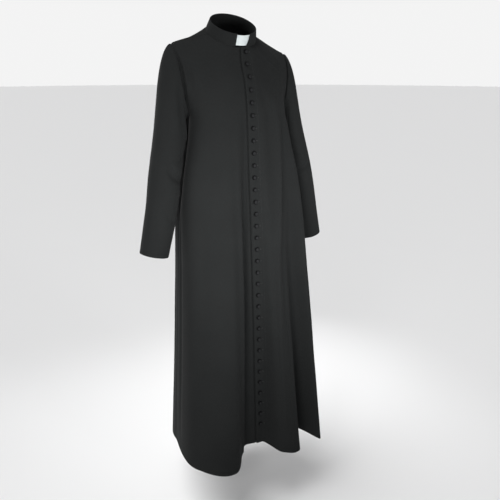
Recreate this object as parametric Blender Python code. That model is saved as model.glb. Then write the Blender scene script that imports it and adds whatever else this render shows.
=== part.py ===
"""Cassock, worn: a full-length robe with a stand collar, a collar tab and a long row of buttons.

Frame: metres, +Z up, -Y to the wearer's front, +X to the wearer's left. The origin is midway
between the two points where the shoulder seams meet the collar, where a wearer's shoulders
carry the garment.

The body's cloth is one surface, read by (level, lap). Level 0 is the hem, 1 is the underarm and
2 is the shoulder seam. Lap runs round the body as a share of each row: 0 is the centre front,
1 the wearer's left side seam, -1 the right one, and 2 or -2 the centre back. Above the underarm
a row runs from the centre line, and then from the neckline, out to the armhole.
"""
from collections import namedtuple
from math import cos, pi, radians, sin, tan

import bmesh
import bpy
import numpy as np
from mathutils import Vector
from mathutils.bvhtree import BVHTree

# Cloth
CLOTH = 0.002
COLLAR_CLOTH = 0.0026
TAB_CLOTH = 0.001
SEAM_GAP = 0.0003
ARMHOLE_GAP = 0.0006
SLEEVE_GAP = 0.0005
LAP_GAP = 0.0005

# Neck: the ring that the collar is sewn to, and the collar's free edge
NECK_HALF_WIDTH = 0.0785
NECK_HALF_DEPTH = 0.0770
NECK_CENTRE_Y = -0.0045
NECK_TILT = radians(25.3)
COLLAR_HEIGHT = 0.0355
COLLAR_TOP_SHARE = 0.905
NECK_RISE = np.array([0, -sin(NECK_TILT), cos(NECK_TILT)])

# Collar ends and tab, as lengths along the neck ring from the centre front, + to the wearer's left
COLLAR_RIGHT_END = -0.022
COLLAR_LEFT_END_LOW = 0.009
COLLAR_LEFT_END_HIGH = 0.028
TAB_HALF_LENGTH = 0.040
TAB_FOOT = 0.06
TAB_HEAD = 0.90
TAB_GAP = 0.0007

# Body
HEM_Z = -1.322
UNDERARM_Z = -0.245
NECK_SHARE = 0.60
FRONT_CUT = 0.22
BACK_CUT = 0.32
ARMHOLE_CUT_SHARE = 0.35
SHOULDER_DROP = 0.0150
SHOULDER_DROP_START = 0.050
SHOULDER_DROP_END = -0.30
HEM_DIP = 0.30

# Front edge, underlap and buttons
EDGE_X = -0.0055
UNDERLAP_X = 0.0240
SINK_START_X = -0.075
SINK_END_X = -0.010
SINK_FADE = 0.15
BUTTON_X = 0.0095
BUTTON_COUNT = 33
BUTTON_TOP_Z = -0.0490
BUTTON_PITCH = 0.0376
BUTTON_RADIUS = 0.0073
BUTTON_HEIGHT = 0.0055
BUTTON_SIDES = 10

# Horizontal sections of the body, hem to underarm. run: handle lengths, as a share of the
# half width or of the depth; turn: how far the cloth leans outwards from the side seam, in degrees.
Level = namedtuple(
    "Level",
    "z front_y back_y side_x side_y front_run side_run turn back_run rear_run rear_turn",
)
LEVELS = [
    Level(-1.322, -0.186, 0.140, 0.234, -0.030, 0.72, 0.70, 0, 0.64, 0.56, 0),
    Level(-1.050, -0.176, 0.126, 0.222, -0.030, 0.72, 0.70, 0, 0.64, 0.58, 0),
    Level(-0.750, -0.162, 0.110, 0.208, -0.028, 0.74, 0.70, 4, 0.64, 0.63, 0),
    Level(-0.560, -0.150, 0.100, 0.195, -0.022, 0.78, 0.72, 12, 0.68, 0.66, 6),
    Level(-0.420, -0.139, 0.096, 0.173, -0.014, 0.84, 0.74, 24, 0.72, 0.66, 12),
    Level(-0.320, -0.1335, 0.099, 0.153, -0.006, 0.90, 0.74, 22, 0.78, 0.66, 14),
    Level(-0.245, -0.128, 0.102, 0.145, 0.000, 0.92, 0.74, 14, 0.82, 0.68, 10),
]

# Centre lines between the underarm and the neck
Centre = namedtuple("Centre", "z y")
CHEST = [Centre(-0.245, -0.1280), Centre(-0.180, -0.1180), Centre(-0.135, -0.1080),
         Centre(-0.075, -0.0850), Centre(-0.0378, -0.0800)]
NAPE = [Centre(-0.245, 0.1020), Centre(-0.150, 0.1030), Centre(-0.060, 0.0960),
        Centre(0.000, 0.0830), Centre(0.0350, 0.0730)]

# The wearer's left armhole, from the underarm up the front, over the shoulder and down the back
Armhole = namedtuple("Armhole", "x y z")
ARMHOLE = [
    Armhole(0.145, 0.000, -0.245),
    Armhole(0.160, -0.033, -0.225),
    Armhole(0.1755, -0.046, -0.163),
    Armhole(0.1875, -0.036, -0.090),
    Armhole(0.194, 0.008, -0.040),
    Armhole(0.187, 0.054, -0.088),
    Armhole(0.174, 0.062, -0.162),
    Armhole(0.160, 0.043, -0.224),
]
ARM_OUT = Vector((0.95, 0.0, -0.31)).normalized()

# Sleeve below the cap: centre line and half sizes across and from front to back
Sleeve = namedtuple("Sleeve", "z x y half_x half_y")
SLEEVE = [
    Sleeve(-0.310, 0.2125, 0.000, 0.0490, 0.0600),
    Sleeve(-0.420, 0.2355, -0.012, 0.0500, 0.0580),
    Sleeve(-0.520, 0.2530, -0.020, 0.0490, 0.0540),
    Sleeve(-0.6630, 0.2830, -0.0200, 0.0460, 0.0470),
]

CAP_LEAD = (0.024, 0.040)
CAP_FOLLOW = (0.020, 0.120)
UNDERARM_LIFT = 0.010

# Folds: place is the lap at the hem, drift the change of lap up to the fold's top, reach how far
# the hem swings along heading (degrees from straight ahead, + to the wearer's left).
Fold = namedtuple("Fold", "place drift reach heading right_width left_width top_z growth")
FOLDS = [
    Fold(-0.36, 0.06, 0.094, -6, 0.32, 0.22, -0.30, 1.1),
    Fold(-0.66, 0.00, 0.080, -18, 0.36, 0.34, -0.35, 1.3),
    Fold(-0.84, 0.00, 0.008, -60, 0.20, 0.20, -0.50, 1.3),
    Fold(0.165, 0.00, 0.064, 6, 0.12, 0.17, -0.16, 1.2),
    Fold(0.33, 0.00, 0.084, 8, 0.18, 0.17, -0.30, 1.3),
    Fold(0.685, 0.00, 0.100, 14, 0.18, 0.32, -0.10, 0.95),
    Fold(1.50, 0.00, 0.040, 160, 0.22, 0.22, -0.45, 1.2),
    Fold(2.00, 0.00, 0.035, 180, 0.20, 0.20, -0.50, 1.2),
    Fold(-1.50, 0.00, 0.040, -160, 0.22, 0.22, -0.45, 1.2),
]

# Rows and columns that the pieces are built on. The armhole's stations run from the underarm up
# the front to the shoulder and down the back, one for each of the body's rows on either side.
NECK_STEPS = 8
BODY_LEVELS = np.concatenate([
    np.linspace(0, 1, 14)[:-1],
    1 + NECK_SHARE * np.linspace(0, 1, 8)[:-1],
    1 + NECK_SHARE + (1 - NECK_SHARE) * np.linspace(0, 1, NECK_STEPS + 1),
])
UNDERARM_ROW = 13
NECK_ROW = 20
TOP_STATION = 15
FRONT_SEAM = 4
HIND_SEAM = 25
FRONT_COLUMNS = 18
BACK_COLUMNS = 15
SLEEVE_DROPS = np.concatenate([np.linspace(2, 1, 10)[:-1], np.linspace(1, 0, 9)])


# ---------------------------------------------------------------- curves

def through(rows, station, column, at):
    """Read a table's column at any station, on a smooth curve that never overshoots its rows."""
    table = sorted(rows, key=lambda row: getattr(row, station))
    x = np.array([getattr(row, station) for row in table])
    y = np.array([getattr(row, column) for row in table])
    step = np.diff(x)
    rise = np.diff(y) / step
    slope = np.concatenate([rise[:1], np.zeros(len(x) - 2), rise[-1:]])
    for i in range(1, len(x) - 1):
        if rise[i - 1] * rise[i] > 0:
            before = 2 * step[i] + step[i - 1]
            after = step[i] + 2 * step[i - 1]
            slope[i] = (before + after) / (before / rise[i - 1] + after / rise[i])
    i = int(np.clip(np.searchsorted(x, at) - 1, 0, len(x) - 2))
    t = (at - x[i]) / step[i]
    return (y[i] * (1 + 2 * t) * (1 - t) ** 2 + y[i + 1] * t * t * (3 - 2 * t)
            + step[i] * t * (1 - t) * (slope[i] * (1 - t) - slope[i + 1] * t))


def bezier(start, lead, follow, end, t):
    """Points of a cubic curve at the shares t, one row for each share."""
    t = np.asarray(t)[:, None]
    return ((1 - t) ** 3 * start + 3 * t * (1 - t) ** 2 * lead
            + 3 * t * t * (1 - t) * follow + t ** 3 * end)


def shorten(ends, cut):
    """The control points of a cubic curve's first stretch, up to the share cut."""
    start, lead, follow, end = ends
    a = start + (lead - start) * cut
    b = lead + (follow - lead) * cut
    c = follow + (end - follow) * cut
    d = a + (b - a) * cut
    e = b + (c - b) * cut
    return start, a, d, d + (e - d) * cut


def by_length(points, shares):
    """Points at the given shares of a polyline's length."""
    length = np.concatenate([[0], np.cumsum(np.linalg.norm(np.diff(points, axis=0), axis=1))])
    length /= length[-1]
    return np.stack([np.interp(shares, length, points[:, axis]) for axis in range(3)], axis=1)


def smooth_step(t):
    t = np.clip(t, 0, 1)
    return t * t * (3 - 2 * t)


def unit(vectors):
    return vectors / np.linalg.norm(vectors, axis=-1, keepdims=True)


def bell(offset, width):
    """A round hump: 1 in the middle, 0 at either width."""
    return 0.5 + 0.5 * np.cos(pi * np.clip(offset / width, -1, 1))


# ---------------------------------------------------------------- the body's surface

def armhole_curve(samples=160):
    """The wearer's left armhole as a closed curve through its table, evenly spaced."""
    knots = np.array(ARMHOLE)
    count = len(knots)
    curve = []
    for i in range(count):
        before, start, end, after = (knots[(i + k) % count] for k in (-1, 0, 1, 2))
        lead = start + (end - before) / 6
        follow = end - (after - start) / 6
        curve.append(bezier(start, lead, follow, end, np.linspace(0, 1, 24, endpoint=False)))
    curve = np.concatenate(curve + [curve[0][:1]])
    return by_length(curve, np.linspace(0, 1, samples + 1))


ARMHOLE_CURVE = armhole_curve()
SHOULDER_SHARE = float(np.argmax(ARMHOLE_CURVE[:, 2])) / (len(ARMHOLE_CURVE) - 1)


def armhole_point(share):
    """A point of the left armhole: 0 and 1 are the underarm, SHOULDER_SHARE the shoulder."""
    spread = np.linspace(0, 1, len(ARMHOLE_CURVE))
    return np.array([np.interp(share % 1.0, spread, ARMHOLE_CURVE[:, axis]) for axis in range(3)])


def neck_point(angle):
    """A point of the neck ring; angle 0 is the centre front, pi / 2 the wearer's left side."""
    y = NECK_CENTRE_Y - NECK_HALF_DEPTH * cos(angle)
    return np.array([NECK_HALF_WIDTH * sin(angle), y, tan(NECK_TILT) * (y - NECK_CENTRE_Y)])


def section(level, rear):
    """A row below the underarm, wearer's left half: its centre, two handles and its side."""
    z = HEM_Z + (UNDERARM_Z - HEM_Z) * level
    at = {name: through(LEVELS, "z", name, z) for name in Level._fields if name != "z"}
    side = np.array([at["side_x"], at["side_y"], z])
    if rear:
        centre = np.array([0, at["back_y"], z])
        run, reach, lean = at["back_run"], at["rear_run"], radians(at["rear_turn"])
    else:
        centre = np.array([0, at["front_y"], z])
        run, reach, lean = at["front_run"], at["side_run"], radians(at["turn"])
    depth = centre[1] - side[1]
    lead = centre + [run * side[0], 0, 0]
    follow = side + [reach * abs(depth) * sin(lean), reach * depth * cos(lean), 0]
    return centre, lead, follow, side


def yoke(level, rear):
    """A row above the underarm: from the centre line or the neck ring out to the armhole."""
    share = level - 1
    line = NAPE if rear else CHEST
    if share < NECK_SHARE:
        z = UNDERARM_Z + (line[-1].z - UNDERARM_Z) * share / NECK_SHARE
        centre = np.array([0, through(line, "z", "y", z), z])
    else:
        turn = (share - NECK_SHARE) / (1 - NECK_SHARE) * pi / 2
        centre = neck_point(pi - turn if rear else turn)
    shoulder = SHOULDER_SHARE
    side = armhole_point(1 - share * (1 - shoulder) if rear else share * shoulder)
    cut = 1 - (BACK_CUT if rear else FRONT_CUT) * sin(pi / 2 * min(share / ARMHOLE_CUT_SHARE, 1))
    first = shorten(section(1.0, rear), cut)
    curved = 0.5 + 0.5 * cos(pi * share)
    chord = side - centre
    lead = centre + curved * (first[1] - first[0]) + (1 - curved) * chord / 3
    follow = side + curved * (first[2] - first[3]) - (1 - curved) * chord / 3
    return centre, lead, follow, side


def row(level, laps):
    """Points of one row of the body's surface at the given laps, all in front or all behind.

    Above the underarm a lap of -0.0 lies on the wearer's right, and 0.0 on the left.
    """
    laps = np.asarray(laps, float)
    rear = bool(np.max(np.abs(laps)) > 1.0 + 1e-6)
    ends = section(level, rear) if level <= 1 else yoke(level, rear)
    share = 2 - np.abs(laps) if rear else np.abs(laps)
    curve = bezier(*ends, np.linspace(0, 1, 161))
    points = by_length(curve, share)
    points[:, 0] *= np.where(np.signbit(laps), -1, 1)
    return settle(swing(points, laps))


def swing(points, laps):
    """Move points by the folds, which grow from nothing at their tops to the hem."""
    moved = points.copy()
    for fold in FOLDS:
        drop = np.clip((fold.top_z - points[:, 2]) / (fold.top_z - HEM_Z), 0, 1.1)
        offset = laps - fold.place - fold.drift * (1 - drop)
        offset = (offset + 2) % 4 - 2
        width = np.where(offset < 0, fold.right_width, fold.left_width)
        out = fold.reach * drop ** fold.growth * bell(offset, width)
        moved[:, 0] += out * sin(radians(fold.heading))
        moved[:, 1] -= out * cos(radians(fold.heading))
        moved[:, 2] -= out * HEM_DIP
    return moved


def settle(points):
    """Let the wearer's left shoulder hang a little below the right one."""
    settled = points.copy()
    out = np.abs(points[:, 0])
    share = smooth_step((out - SHOULDER_DROP_START) / (ARMHOLE[4].x - SHOULDER_DROP_START))
    share = share * smooth_step((points[:, 2] - SHOULDER_DROP_END) / (ARMHOLE[4].z - SHOULDER_DROP_END))
    settled[:, 2] -= SHOULDER_DROP * share * np.sign(points[:, 0])
    return settled


def surface(levels, laps):
    """Points and outward normals over levels and laps; laps may differ from row to row."""
    nudge = 1e-3
    laps = np.broadcast_to(laps, (len(levels), np.shape(laps)[-1]))
    rear = np.max(np.abs(laps)) > 1
    hand = np.sign(np.sum(laps))
    points, along, up = [], [], []
    for level, at in zip(levels, laps):
        if rear:
            near = np.sign(at) * np.clip(np.abs(at), 1 + nudge, 2 - nudge)
        elif level > 1 + NECK_SHARE:
            near = hand * np.clip(hand * at, nudge, 1 - nudge)
        else:
            near = np.clip(at, nudge - 1, 1 - nudge)
        points.append(row(level, at))
        along.append(row(level, near + nudge) - row(level, near - nudge))
        up.append(row(min(level + nudge, 2), near) - row(level - nudge, near))
    return np.array(points), unit(np.cross(along, up))


def row_length(level):
    """Length of a front row from the centre front to the side."""
    line = bezier(*(section(level, False) if level <= 1 else yoke(level, False)), np.linspace(0, 1, 81))
    return np.sum(np.linalg.norm(np.diff(line, axis=0), axis=1))


# ---------------------------------------------------------------- the sleeve's surface


def sleeve_centre(z):
    return np.array([through(SLEEVE, "z", "x", z), through(SLEEVE, "z", "y", z), z])


def sleeve_ring(z, shares):
    """A ring square to the sleeve's centre line; share 0 is the inner side, 0.25 the front."""
    centre = sleeve_centre(z)
    fall = sleeve_centre(z - 0.001) - sleeve_centre(z + 0.001)
    fall /= np.linalg.norm(fall)
    across = np.cross([0, 1, 0], -fall)
    across /= np.linalg.norm(across)
    fore = np.cross(-fall, across)
    turn = 2 * pi * np.asarray(shares)[:, None]
    half_x = through(SLEEVE, "z", "half_x", z)
    half_y = through(SLEEVE, "z", "half_y", z)
    return centre - half_x * np.cos(turn) * across - half_y * np.sin(turn) * fore, fall


def sleeve_row(drop, shares, hand):
    """Points of a sleeve; drop 0 is the armhole, 1 the cap's end, 2 the cuff; hand 1 is left."""
    return settle(left_sleeve_row(drop, shares) * np.array([hand, 1, 1]))


def left_sleeve_row(drop, shares):
    shares = np.asarray(shares, float)
    if drop > 1:
        z = SLEEVE[0].z + (SLEEVE[-1].z - SLEEVE[0].z) * (drop - 1)
        return sleeve_ring(z, shares)[0]
    ring, fall = sleeve_ring(SLEEVE[0].z, shares)
    start = np.array([armhole_point(share) for share in shares])
    height = (0.5 - 0.5 * np.cos(2 * pi * shares))[:, None]
    lead = start + np.array(ARM_OUT) * (CAP_LEAD[0] + (CAP_LEAD[1] - CAP_LEAD[0]) * height)
    lead[:, 2] += UNDERARM_LIFT * (1 - height[:, 0])
    follow = ring - fall * (CAP_FOLLOW[0] + (CAP_FOLLOW[1] - CAP_FOLLOW[0]) * height)
    left = 1 - drop
    return (left ** 3 * start + 3 * drop * left ** 2 * lead
            + 3 * drop * drop * left * follow + drop ** 3 * ring)


def sleeve_surface(drops, shares, hand):
    """Points and outward normals of a sleeve over a grid; shares run on anticlockwise."""
    nudge = 1e-3
    points = np.array([sleeve_row(drop, shares, hand) for drop in drops])
    up = np.array([sleeve_row(max(drop - nudge, 0), shares, hand)
                   - sleeve_row(min(drop + nudge, 2), shares, hand) for drop in drops])
    along = np.array([sleeve_row(drop, shares + nudge, hand) - sleeve_row(drop, shares - nudge, hand)
                      for drop in drops]) * hand
    return points, unit(np.cross(along, up))


# ---------------------------------------------------------------- building

def clear_scene():
    for item in list(bpy.data.objects):
        bpy.data.objects.remove(item)


def make_material(name, colour, roughness):
    material = bpy.data.materials.new(name)
    material.use_nodes = True
    shader = material.node_tree.nodes["Principled BSDF"]
    shader.inputs["Base Color"].default_value = (*colour, 1)
    shader.inputs["Roughness"].default_value = roughness
    shader.inputs["Metallic"].default_value = 0
    return material


def add_object(name, mesh, material):
    item = bpy.data.objects.new(name, mesh)
    bpy.context.collection.objects.link(item)
    if not mesh.materials:
        mesh.materials.append(material)
    return item


def wall(name, points, normals, thickness, material, exists=None):
    """A closed cloth wall: a grid of outer points, the same grid set inwards, and its edges.

    Rows run upwards and columns run anticlockwise seen from above. exists(i, j) says whether the
    cell between rows i and i + 1 and columns j and j + 1 is part of the piece.
    """
    rows, columns = points.shape[:2]
    inner = points - normals * thickness
    cells = [(i, j) for i in range(rows - 1) for j in range(columns - 1)
             if exists is None or exists(i, j)]
    spots, number = {}, {}
    for key in sorted({(i + a, j + b) for i, j in cells for a in (0, 1) for b in (0, 1)}):
        number[key] = spots.setdefault(tuple(np.round(points[key], 7)), len(spots))
    outer_side = np.zeros((len(spots), 3))
    inner_side = np.zeros((len(spots), 3))
    for key, k in number.items():
        outer_side[k] = points[key]
        inner_side[k] = inner[key]
    vertices = [tuple(spot) for spot in np.concatenate([outer_side, inner_side])]
    shift = len(spots)
    faces, edges = [], {}
    for i, j in cells:
        loop = [number[key] for key in ((i, j), (i, j + 1), (i + 1, j + 1), (i + 1, j))]
        faces.append(loop)
        faces.append([k + shift for k in reversed(loop)])
        for a, b in zip(loop, loop[1:] + loop[:1]):
            edges[(a, b)] = True
    for a, b in edges:
        if (b, a) not in edges:
            faces.append([b, a, a + shift, b + shift])
    mesh = bpy.data.meshes.new(name)
    mesh.from_pydata(vertices, [], faces)
    mesh.shade_smooth()
    mesh.set_sharp_from_angle(angle=radians(40))
    return add_object(name, mesh, material)


def level_off(normals, sign):
    """Keep a wall's cut edge at the neck from passing through the plane of the neck ring."""
    across = sign * np.maximum(sign * (normals @ NECK_RISE), 0)
    return unit(normals - across[..., None] * NECK_RISE)


def pull_back(points, edge, inside, gap):
    """Draw a panel's edge back from its seam line, towards its own inside, by half the gap."""
    points[edge] += unit(points[inside] - points[edge]) * gap / 2


def armhole_station(index):
    """The armhole share of a station; below 0 it carries on round the back."""
    turn, index = divmod(index, 2 * TOP_STATION)
    if index <= TOP_STATION:
        return turn + (BODY_LEVELS[UNDERARM_ROW + index] - 1) * SHOULDER_SHARE
    level = BODY_LEVELS[UNDERARM_ROW + 2 * TOP_STATION - index]
    return turn + 1 - (level - 1) * (1 - SHOULDER_SHARE)


def shoulder_normals(laps):
    """The mean of the front's and the back's normals along one shoulder seam."""
    hand = np.sign(np.sum(laps))
    out = np.minimum(np.abs(laps), 2 - np.abs(laps))
    return unit(surface([2.0], hand * out)[1][0] + surface([2.0], hand * (2 - out))[1][0])


def body_grids():
    """Points and normals of the two fronts and the back, with normals shared at their seams."""
    lengths = np.array([row_length(level) for level in BODY_LEVELS])
    edge, under = EDGE_X / lengths, UNDERLAP_X / lengths
    spread = np.linspace(0, 1, FRONT_COLUMNS)
    left = np.array([[a, 0, *(b + (1 - b) * spread)] for a, b in zip(edge, under)])
    right = np.array([[*(2 * a - (1 + 2 * a) * spread[::-1]), a, -0.0, b] for a, b in zip(edge, under)])
    half = np.linspace(1, 2, BACK_COLUMNS)
    grids = {
        "front_left": surface(BODY_LEVELS, left),
        "front_right": surface(BODY_LEVELS, right),
        "back": surface(BODY_LEVELS, np.concatenate([half, -half[::-1]])),
    }
    left_normals, right_normals, back_normals = (grid[1] for grid in grids.values())
    left_normals[-1] = shoulder_normals(left[-1])
    right_normals[-1] = shoulder_normals(right[-1])
    back_normals[-1] = np.concatenate([shoulder_normals(half), shoulder_normals(-half[::-1])])
    below = slice(0, UNDERARM_ROW + 1)
    for front, front_column, back_column in ((left_normals, -1, 0), (right_normals, 0, -1)):
        mean = unit(front[below, front_column] + back_normals[below, back_column])
        front[below, front_column] = back_normals[below, back_column] = mean
    middle = [BACK_COLUMNS - 1, BACK_COLUMNS]
    whole = slice(0, NECK_ROW + 1)
    back_normals[whole, middle] = unit(np.sum(back_normals[whole, middle], axis=1))[:, None]
    for normals, columns in ((left_normals, [0, 1]), (right_normals, [-2, -1]), (back_normals, middle)):
        normals[NECK_ROW:, columns] = level_off(normals[NECK_ROW:, columns], -1)
    out = right * lengths[:, None]
    sunk = smooth_step((out - SINK_START_X) / (SINK_END_X - SINK_START_X))
    sunk = sunk * (1 - smooth_step((BODY_LEVELS - 1 - NECK_SHARE) / SINK_FADE))[:, None]
    grids["front_right"][0][:] -= right_normals * sunk[..., None] * (CLOTH + LAP_GAP)
    return grids


def sleeve_grids():
    """Points, normals and armhole stations of the sleeves' strips, by hand and strip."""
    grids = {}
    for hand in (1, -1):
        for strip, first, last in (("upper", FRONT_SEAM, HIND_SEAM),
                                   ("under", HIND_SEAM - 2 * TOP_STATION, FRONT_SEAM)):
            stations = range(first, last + 1)[::hand]
            shares = np.array([armhole_station(index) for index in stations])
            grids[hand, strip] = (*sleeve_surface(SLEEVE_DROPS, shares, hand), stations)
    return grids


def join_armholes(body, sleeves):
    """Give both sides of the armhole seams the same normals, and open the seams' gaps."""
    for hand, front in ((1, "front_left"), (-1, "front_right")):
        outer = (-1, 0)[::hand]
        for index in range(2 * TOP_STATION):
            back_row = UNDERARM_ROW + 2 * TOP_STATION - index
            edges = []
            if index <= TOP_STATION:
                edges.append((body[front][1], (UNDERARM_ROW + index, outer[0])))
            if index >= TOP_STATION or index == 0:
                edges.append((body["back"][1], (back_row % (2 * TOP_STATION), outer[1])))
            ends = [(grid, grid[2].index(spot)) for key, grid in sleeves.items() if key[0] == hand
                    for spot in (index, index - 2 * TOP_STATION) if spot in grid[2]]
            mean = unit(unit(sum(normals[spot] for normals, spot in edges))
                        + unit(sum(grid[1][-1, column] for grid, column in ends)))
            share = armhole_station(index)
            along = (armhole_point(share + 0.002) - armhole_point(share - 0.002)) * [hand, 1, 1]
            gap = unit(np.cross(along, mean))
            gap *= np.sign(gap[0] * hand) * ARMHOLE_GAP
            for normals, spot in edges:
                normals[spot] = mean
            for grid, column in ends:
                grid[1][-1, column] = mean
                grid[0][-1, column] += gap


def build_body_and_sleeves(cloth):
    body, sleeves = body_grids(), sleeve_grids()
    join_armholes(body, sleeves)
    below = slice(0, UNDERARM_ROW + 1)
    for name, edges in (("front_left", [-1]), ("front_right", [0]), ("back", [0, -1])):
        points = body[name][0]
        pull_back(points, (-1,), (-2,), SEAM_GAP)
        for column in edges:
            pull_back(points, (below, column), (below, 1 if column == 0 else -2), SEAM_GAP)
    for points, normals, stations in sleeves.values():
        pull_back(points, (slice(None), 0), (slice(None), 1), SLEEVE_GAP)
        pull_back(points, (slice(None), -1), (slice(None), -2), SLEEVE_GAP)
    wall("front_left", *body["front_left"], CLOTH, cloth, lambda i, j: i < NECK_ROW or j >= 1)
    wall("front_right", *body["front_right"], CLOTH, cloth,
         lambda i, j: i < NECK_ROW or j <= FRONT_COLUMNS)
    wall("back", *body["back"], CLOTH, cloth, lambda i, j: j != BACK_COLUMNS - 1)
    for (hand, strip), (points, normals, stations) in sleeves.items():
        side = "left" if hand > 0 else "right"
        wall(f"sleeve_{side}_{strip}", points, normals, CLOTH, cloth)


def collar_point(angle, height):
    """A point of the collar's outer face; height 0 is the neck ring and 1 the free edge."""
    foot = neck_point(angle)
    centre = np.array([0, NECK_CENTRE_Y, 0])
    ring = centre + (foot - centre) * (1 - (1 - COLLAR_TOP_SHARE) * height)
    return settle((ring + NECK_RISE * COLLAR_HEIGHT * height)[None])[0]


def stations(start, end):
    """Angles round the neck from one end of a strip to the other, on the body's own stations."""
    step = pi / 2 / NECK_STEPS
    first, last = NECK_STEPS // 2 * step, 2 * pi - NECK_STEPS // 2 * step
    between = np.arange(first + step, last - step / 2, step)
    return np.concatenate([np.linspace(start, first, 5), between, np.linspace(last, end, 5)])


def band(name, ends, heights, thickness, inset, material):
    """A strip round the neck from ends(height)[0] to ends(height)[1], angles from the front."""
    nudge = 1e-3
    spread = stations if ends(0)[1] > pi else lambda start, end: np.linspace(start, end, 13)
    points = np.zeros((len(heights), len(spread(*ends(0))), 3))
    normals = np.zeros_like(points)
    for i, height in enumerate(heights):
        for j, angle in enumerate(spread(*ends(height))):
            along = collar_point(angle + nudge, height) - collar_point(angle - nudge, height)
            up = collar_point(angle, height + nudge) - collar_point(angle, height - nudge)
            normal = np.cross(along, up)
            normals[i, j] = normal / np.linalg.norm(normal)
            points[i, j] = collar_point(angle, height)
    normals[0] = level_off(normals[0], 1)
    points -= normals * inset
    return wall(name, points, normals, thickness, material)


def build_collar(cloth, white):
    foot = SEAM_GAP / COLLAR_HEIGHT

    def ends(height):
        left = COLLAR_LEFT_END_LOW + (COLLAR_LEFT_END_HIGH - COLLAR_LEFT_END_LOW) * height ** 0.6
        return left / NECK_HALF_WIDTH, 2 * pi + COLLAR_RIGHT_END / NECK_HALF_WIDTH

    heights = [foot] + [foot + (1 - foot) * k / 4 for k in range(1, 5)]
    band("collar", ends, heights, COLLAR_CLOTH, 0, cloth)
    reach = TAB_HALF_LENGTH / NECK_HALF_WIDTH
    band("collar_tab", lambda height: (-reach, reach), [TAB_FOOT, 0.5, TAB_HEAD], TAB_CLOTH,
         COLLAR_CLOTH + TAB_GAP, white)


def button_mesh():
    """A cloth-covered dome, turned about its own Z, its flat back at Z = 0."""
    profile = [(0.80, 0.0), (1.0, 0.28), (0.86, 0.72), (0.45, 0.96)]
    shape = bmesh.new()
    rings = []
    for share, lift in profile:
        ring = []
        for k in range(BUTTON_SIDES):
            turn = 2 * pi * k / BUTTON_SIDES
            radius = BUTTON_RADIUS * share
            spot = (radius * cos(turn), radius * sin(turn), BUTTON_HEIGHT * lift)
            ring.append(shape.verts.new(spot))
        rings.append(ring)
    for low, high in zip(rings, rings[1:]):
        for k in range(BUTTON_SIDES):
            after = (k + 1) % BUTTON_SIDES
            shape.faces.new((low[k], low[after], high[after], high[k]))
    crown = shape.verts.new((0, 0, BUTTON_HEIGHT))
    for k in range(BUTTON_SIDES):
        shape.faces.new((rings[-1][k], rings[-1][(k + 1) % BUTTON_SIDES], crown))
    shape.faces.new(list(reversed(rings[0])))
    mesh = bpy.data.meshes.new("button")
    shape.to_mesh(mesh)
    shape.free()
    mesh.shade_smooth()
    mesh.set_sharp_from_angle(angle=radians(50))
    return mesh


def seat(tree, spot, out):
    """The least height along out at which a button's flat back clears the cloth by the seam gap."""
    turn = out.to_track_quat("Z", "Y")
    heights = []
    for k in range(BUTTON_SIDES):
        around = 2 * pi * k / BUTTON_SIDES
        edge = spot + turn @ Vector((BUTTON_RADIUS * cos(around), BUTTON_RADIUS * sin(around), 0))
        hit = tree.ray_cast(edge + out * BUTTON_HEIGHT, -out)[0]
        heights.append((hit - edge).dot(out))
    return max(heights) + SEAM_GAP


def build_buttons(cloth):
    mesh = button_mesh()
    tree = BVHTree.FromObject(bpy.data.objects["front_left"], bpy.context.evaluated_depsgraph_get())
    for index in range(BUTTON_COUNT):
        z = BUTTON_TOP_Z - BUTTON_PITCH * index
        if z < UNDERARM_Z:
            level = (z - HEM_Z) / (UNDERARM_Z - HEM_Z)
        else:
            level = 1 + NECK_SHARE * (z - UNDERARM_Z) / (CHEST[-1].z - UNDERARM_Z)
        reach = np.linspace(0, 0.1, 21)
        line = row(level, reach)
        lap = float(np.interp(BUTTON_X, line[:, 0], reach))
        points, normals = surface([level], np.array([lap]))
        spot, out = Vector(points[0, 0]), Vector(normals[0, 0])
        button = add_object(f"button_{index + 1:02d}", mesh, cloth)
        button.location = spot + out * seat(tree, spot, out)
        button.rotation_euler = out.to_track_quat("Z", "Y").to_euler()


def main():
    clear_scene()
    cloth = make_material("black_suiting", (0.028, 0.029, 0.031), 0.75)
    covered = make_material("button_cloth", (0.020, 0.020, 0.022), 0.6)
    white = make_material("white_band", (0.80, 0.81, 0.83), 0.55)
    build_body_and_sleeves(cloth)
    build_collar(cloth, white)
    build_buttons(covered)


main()
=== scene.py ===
from collections import namedtuple
from math import cos, pi, radians, sin, tan

import bmesh
import bpy
import numpy as np
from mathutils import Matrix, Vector, noise
from mathutils.bvhtree import BVHTree


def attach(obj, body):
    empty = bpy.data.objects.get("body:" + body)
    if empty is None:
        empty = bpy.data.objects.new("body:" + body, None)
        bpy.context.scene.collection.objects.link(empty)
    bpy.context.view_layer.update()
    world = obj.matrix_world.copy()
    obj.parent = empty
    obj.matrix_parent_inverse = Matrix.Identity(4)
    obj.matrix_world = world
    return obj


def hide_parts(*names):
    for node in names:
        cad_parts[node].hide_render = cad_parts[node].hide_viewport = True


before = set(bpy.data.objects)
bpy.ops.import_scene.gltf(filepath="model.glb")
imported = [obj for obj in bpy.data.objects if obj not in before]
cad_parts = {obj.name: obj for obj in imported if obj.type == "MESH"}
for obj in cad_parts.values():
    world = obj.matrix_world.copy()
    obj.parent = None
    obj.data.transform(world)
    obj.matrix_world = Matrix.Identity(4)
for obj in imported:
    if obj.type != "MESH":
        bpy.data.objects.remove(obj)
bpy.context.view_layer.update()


# ======================== the studio
# The robe is worn, so it hangs clear of a pale floor that its wearer would stand on. The room is
# white low down and dim overhead, a wide soft ceiling light falls on the robe, two softboxes stand
# in front at the height of its middle, and two behind it show the folds of the back.

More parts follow.
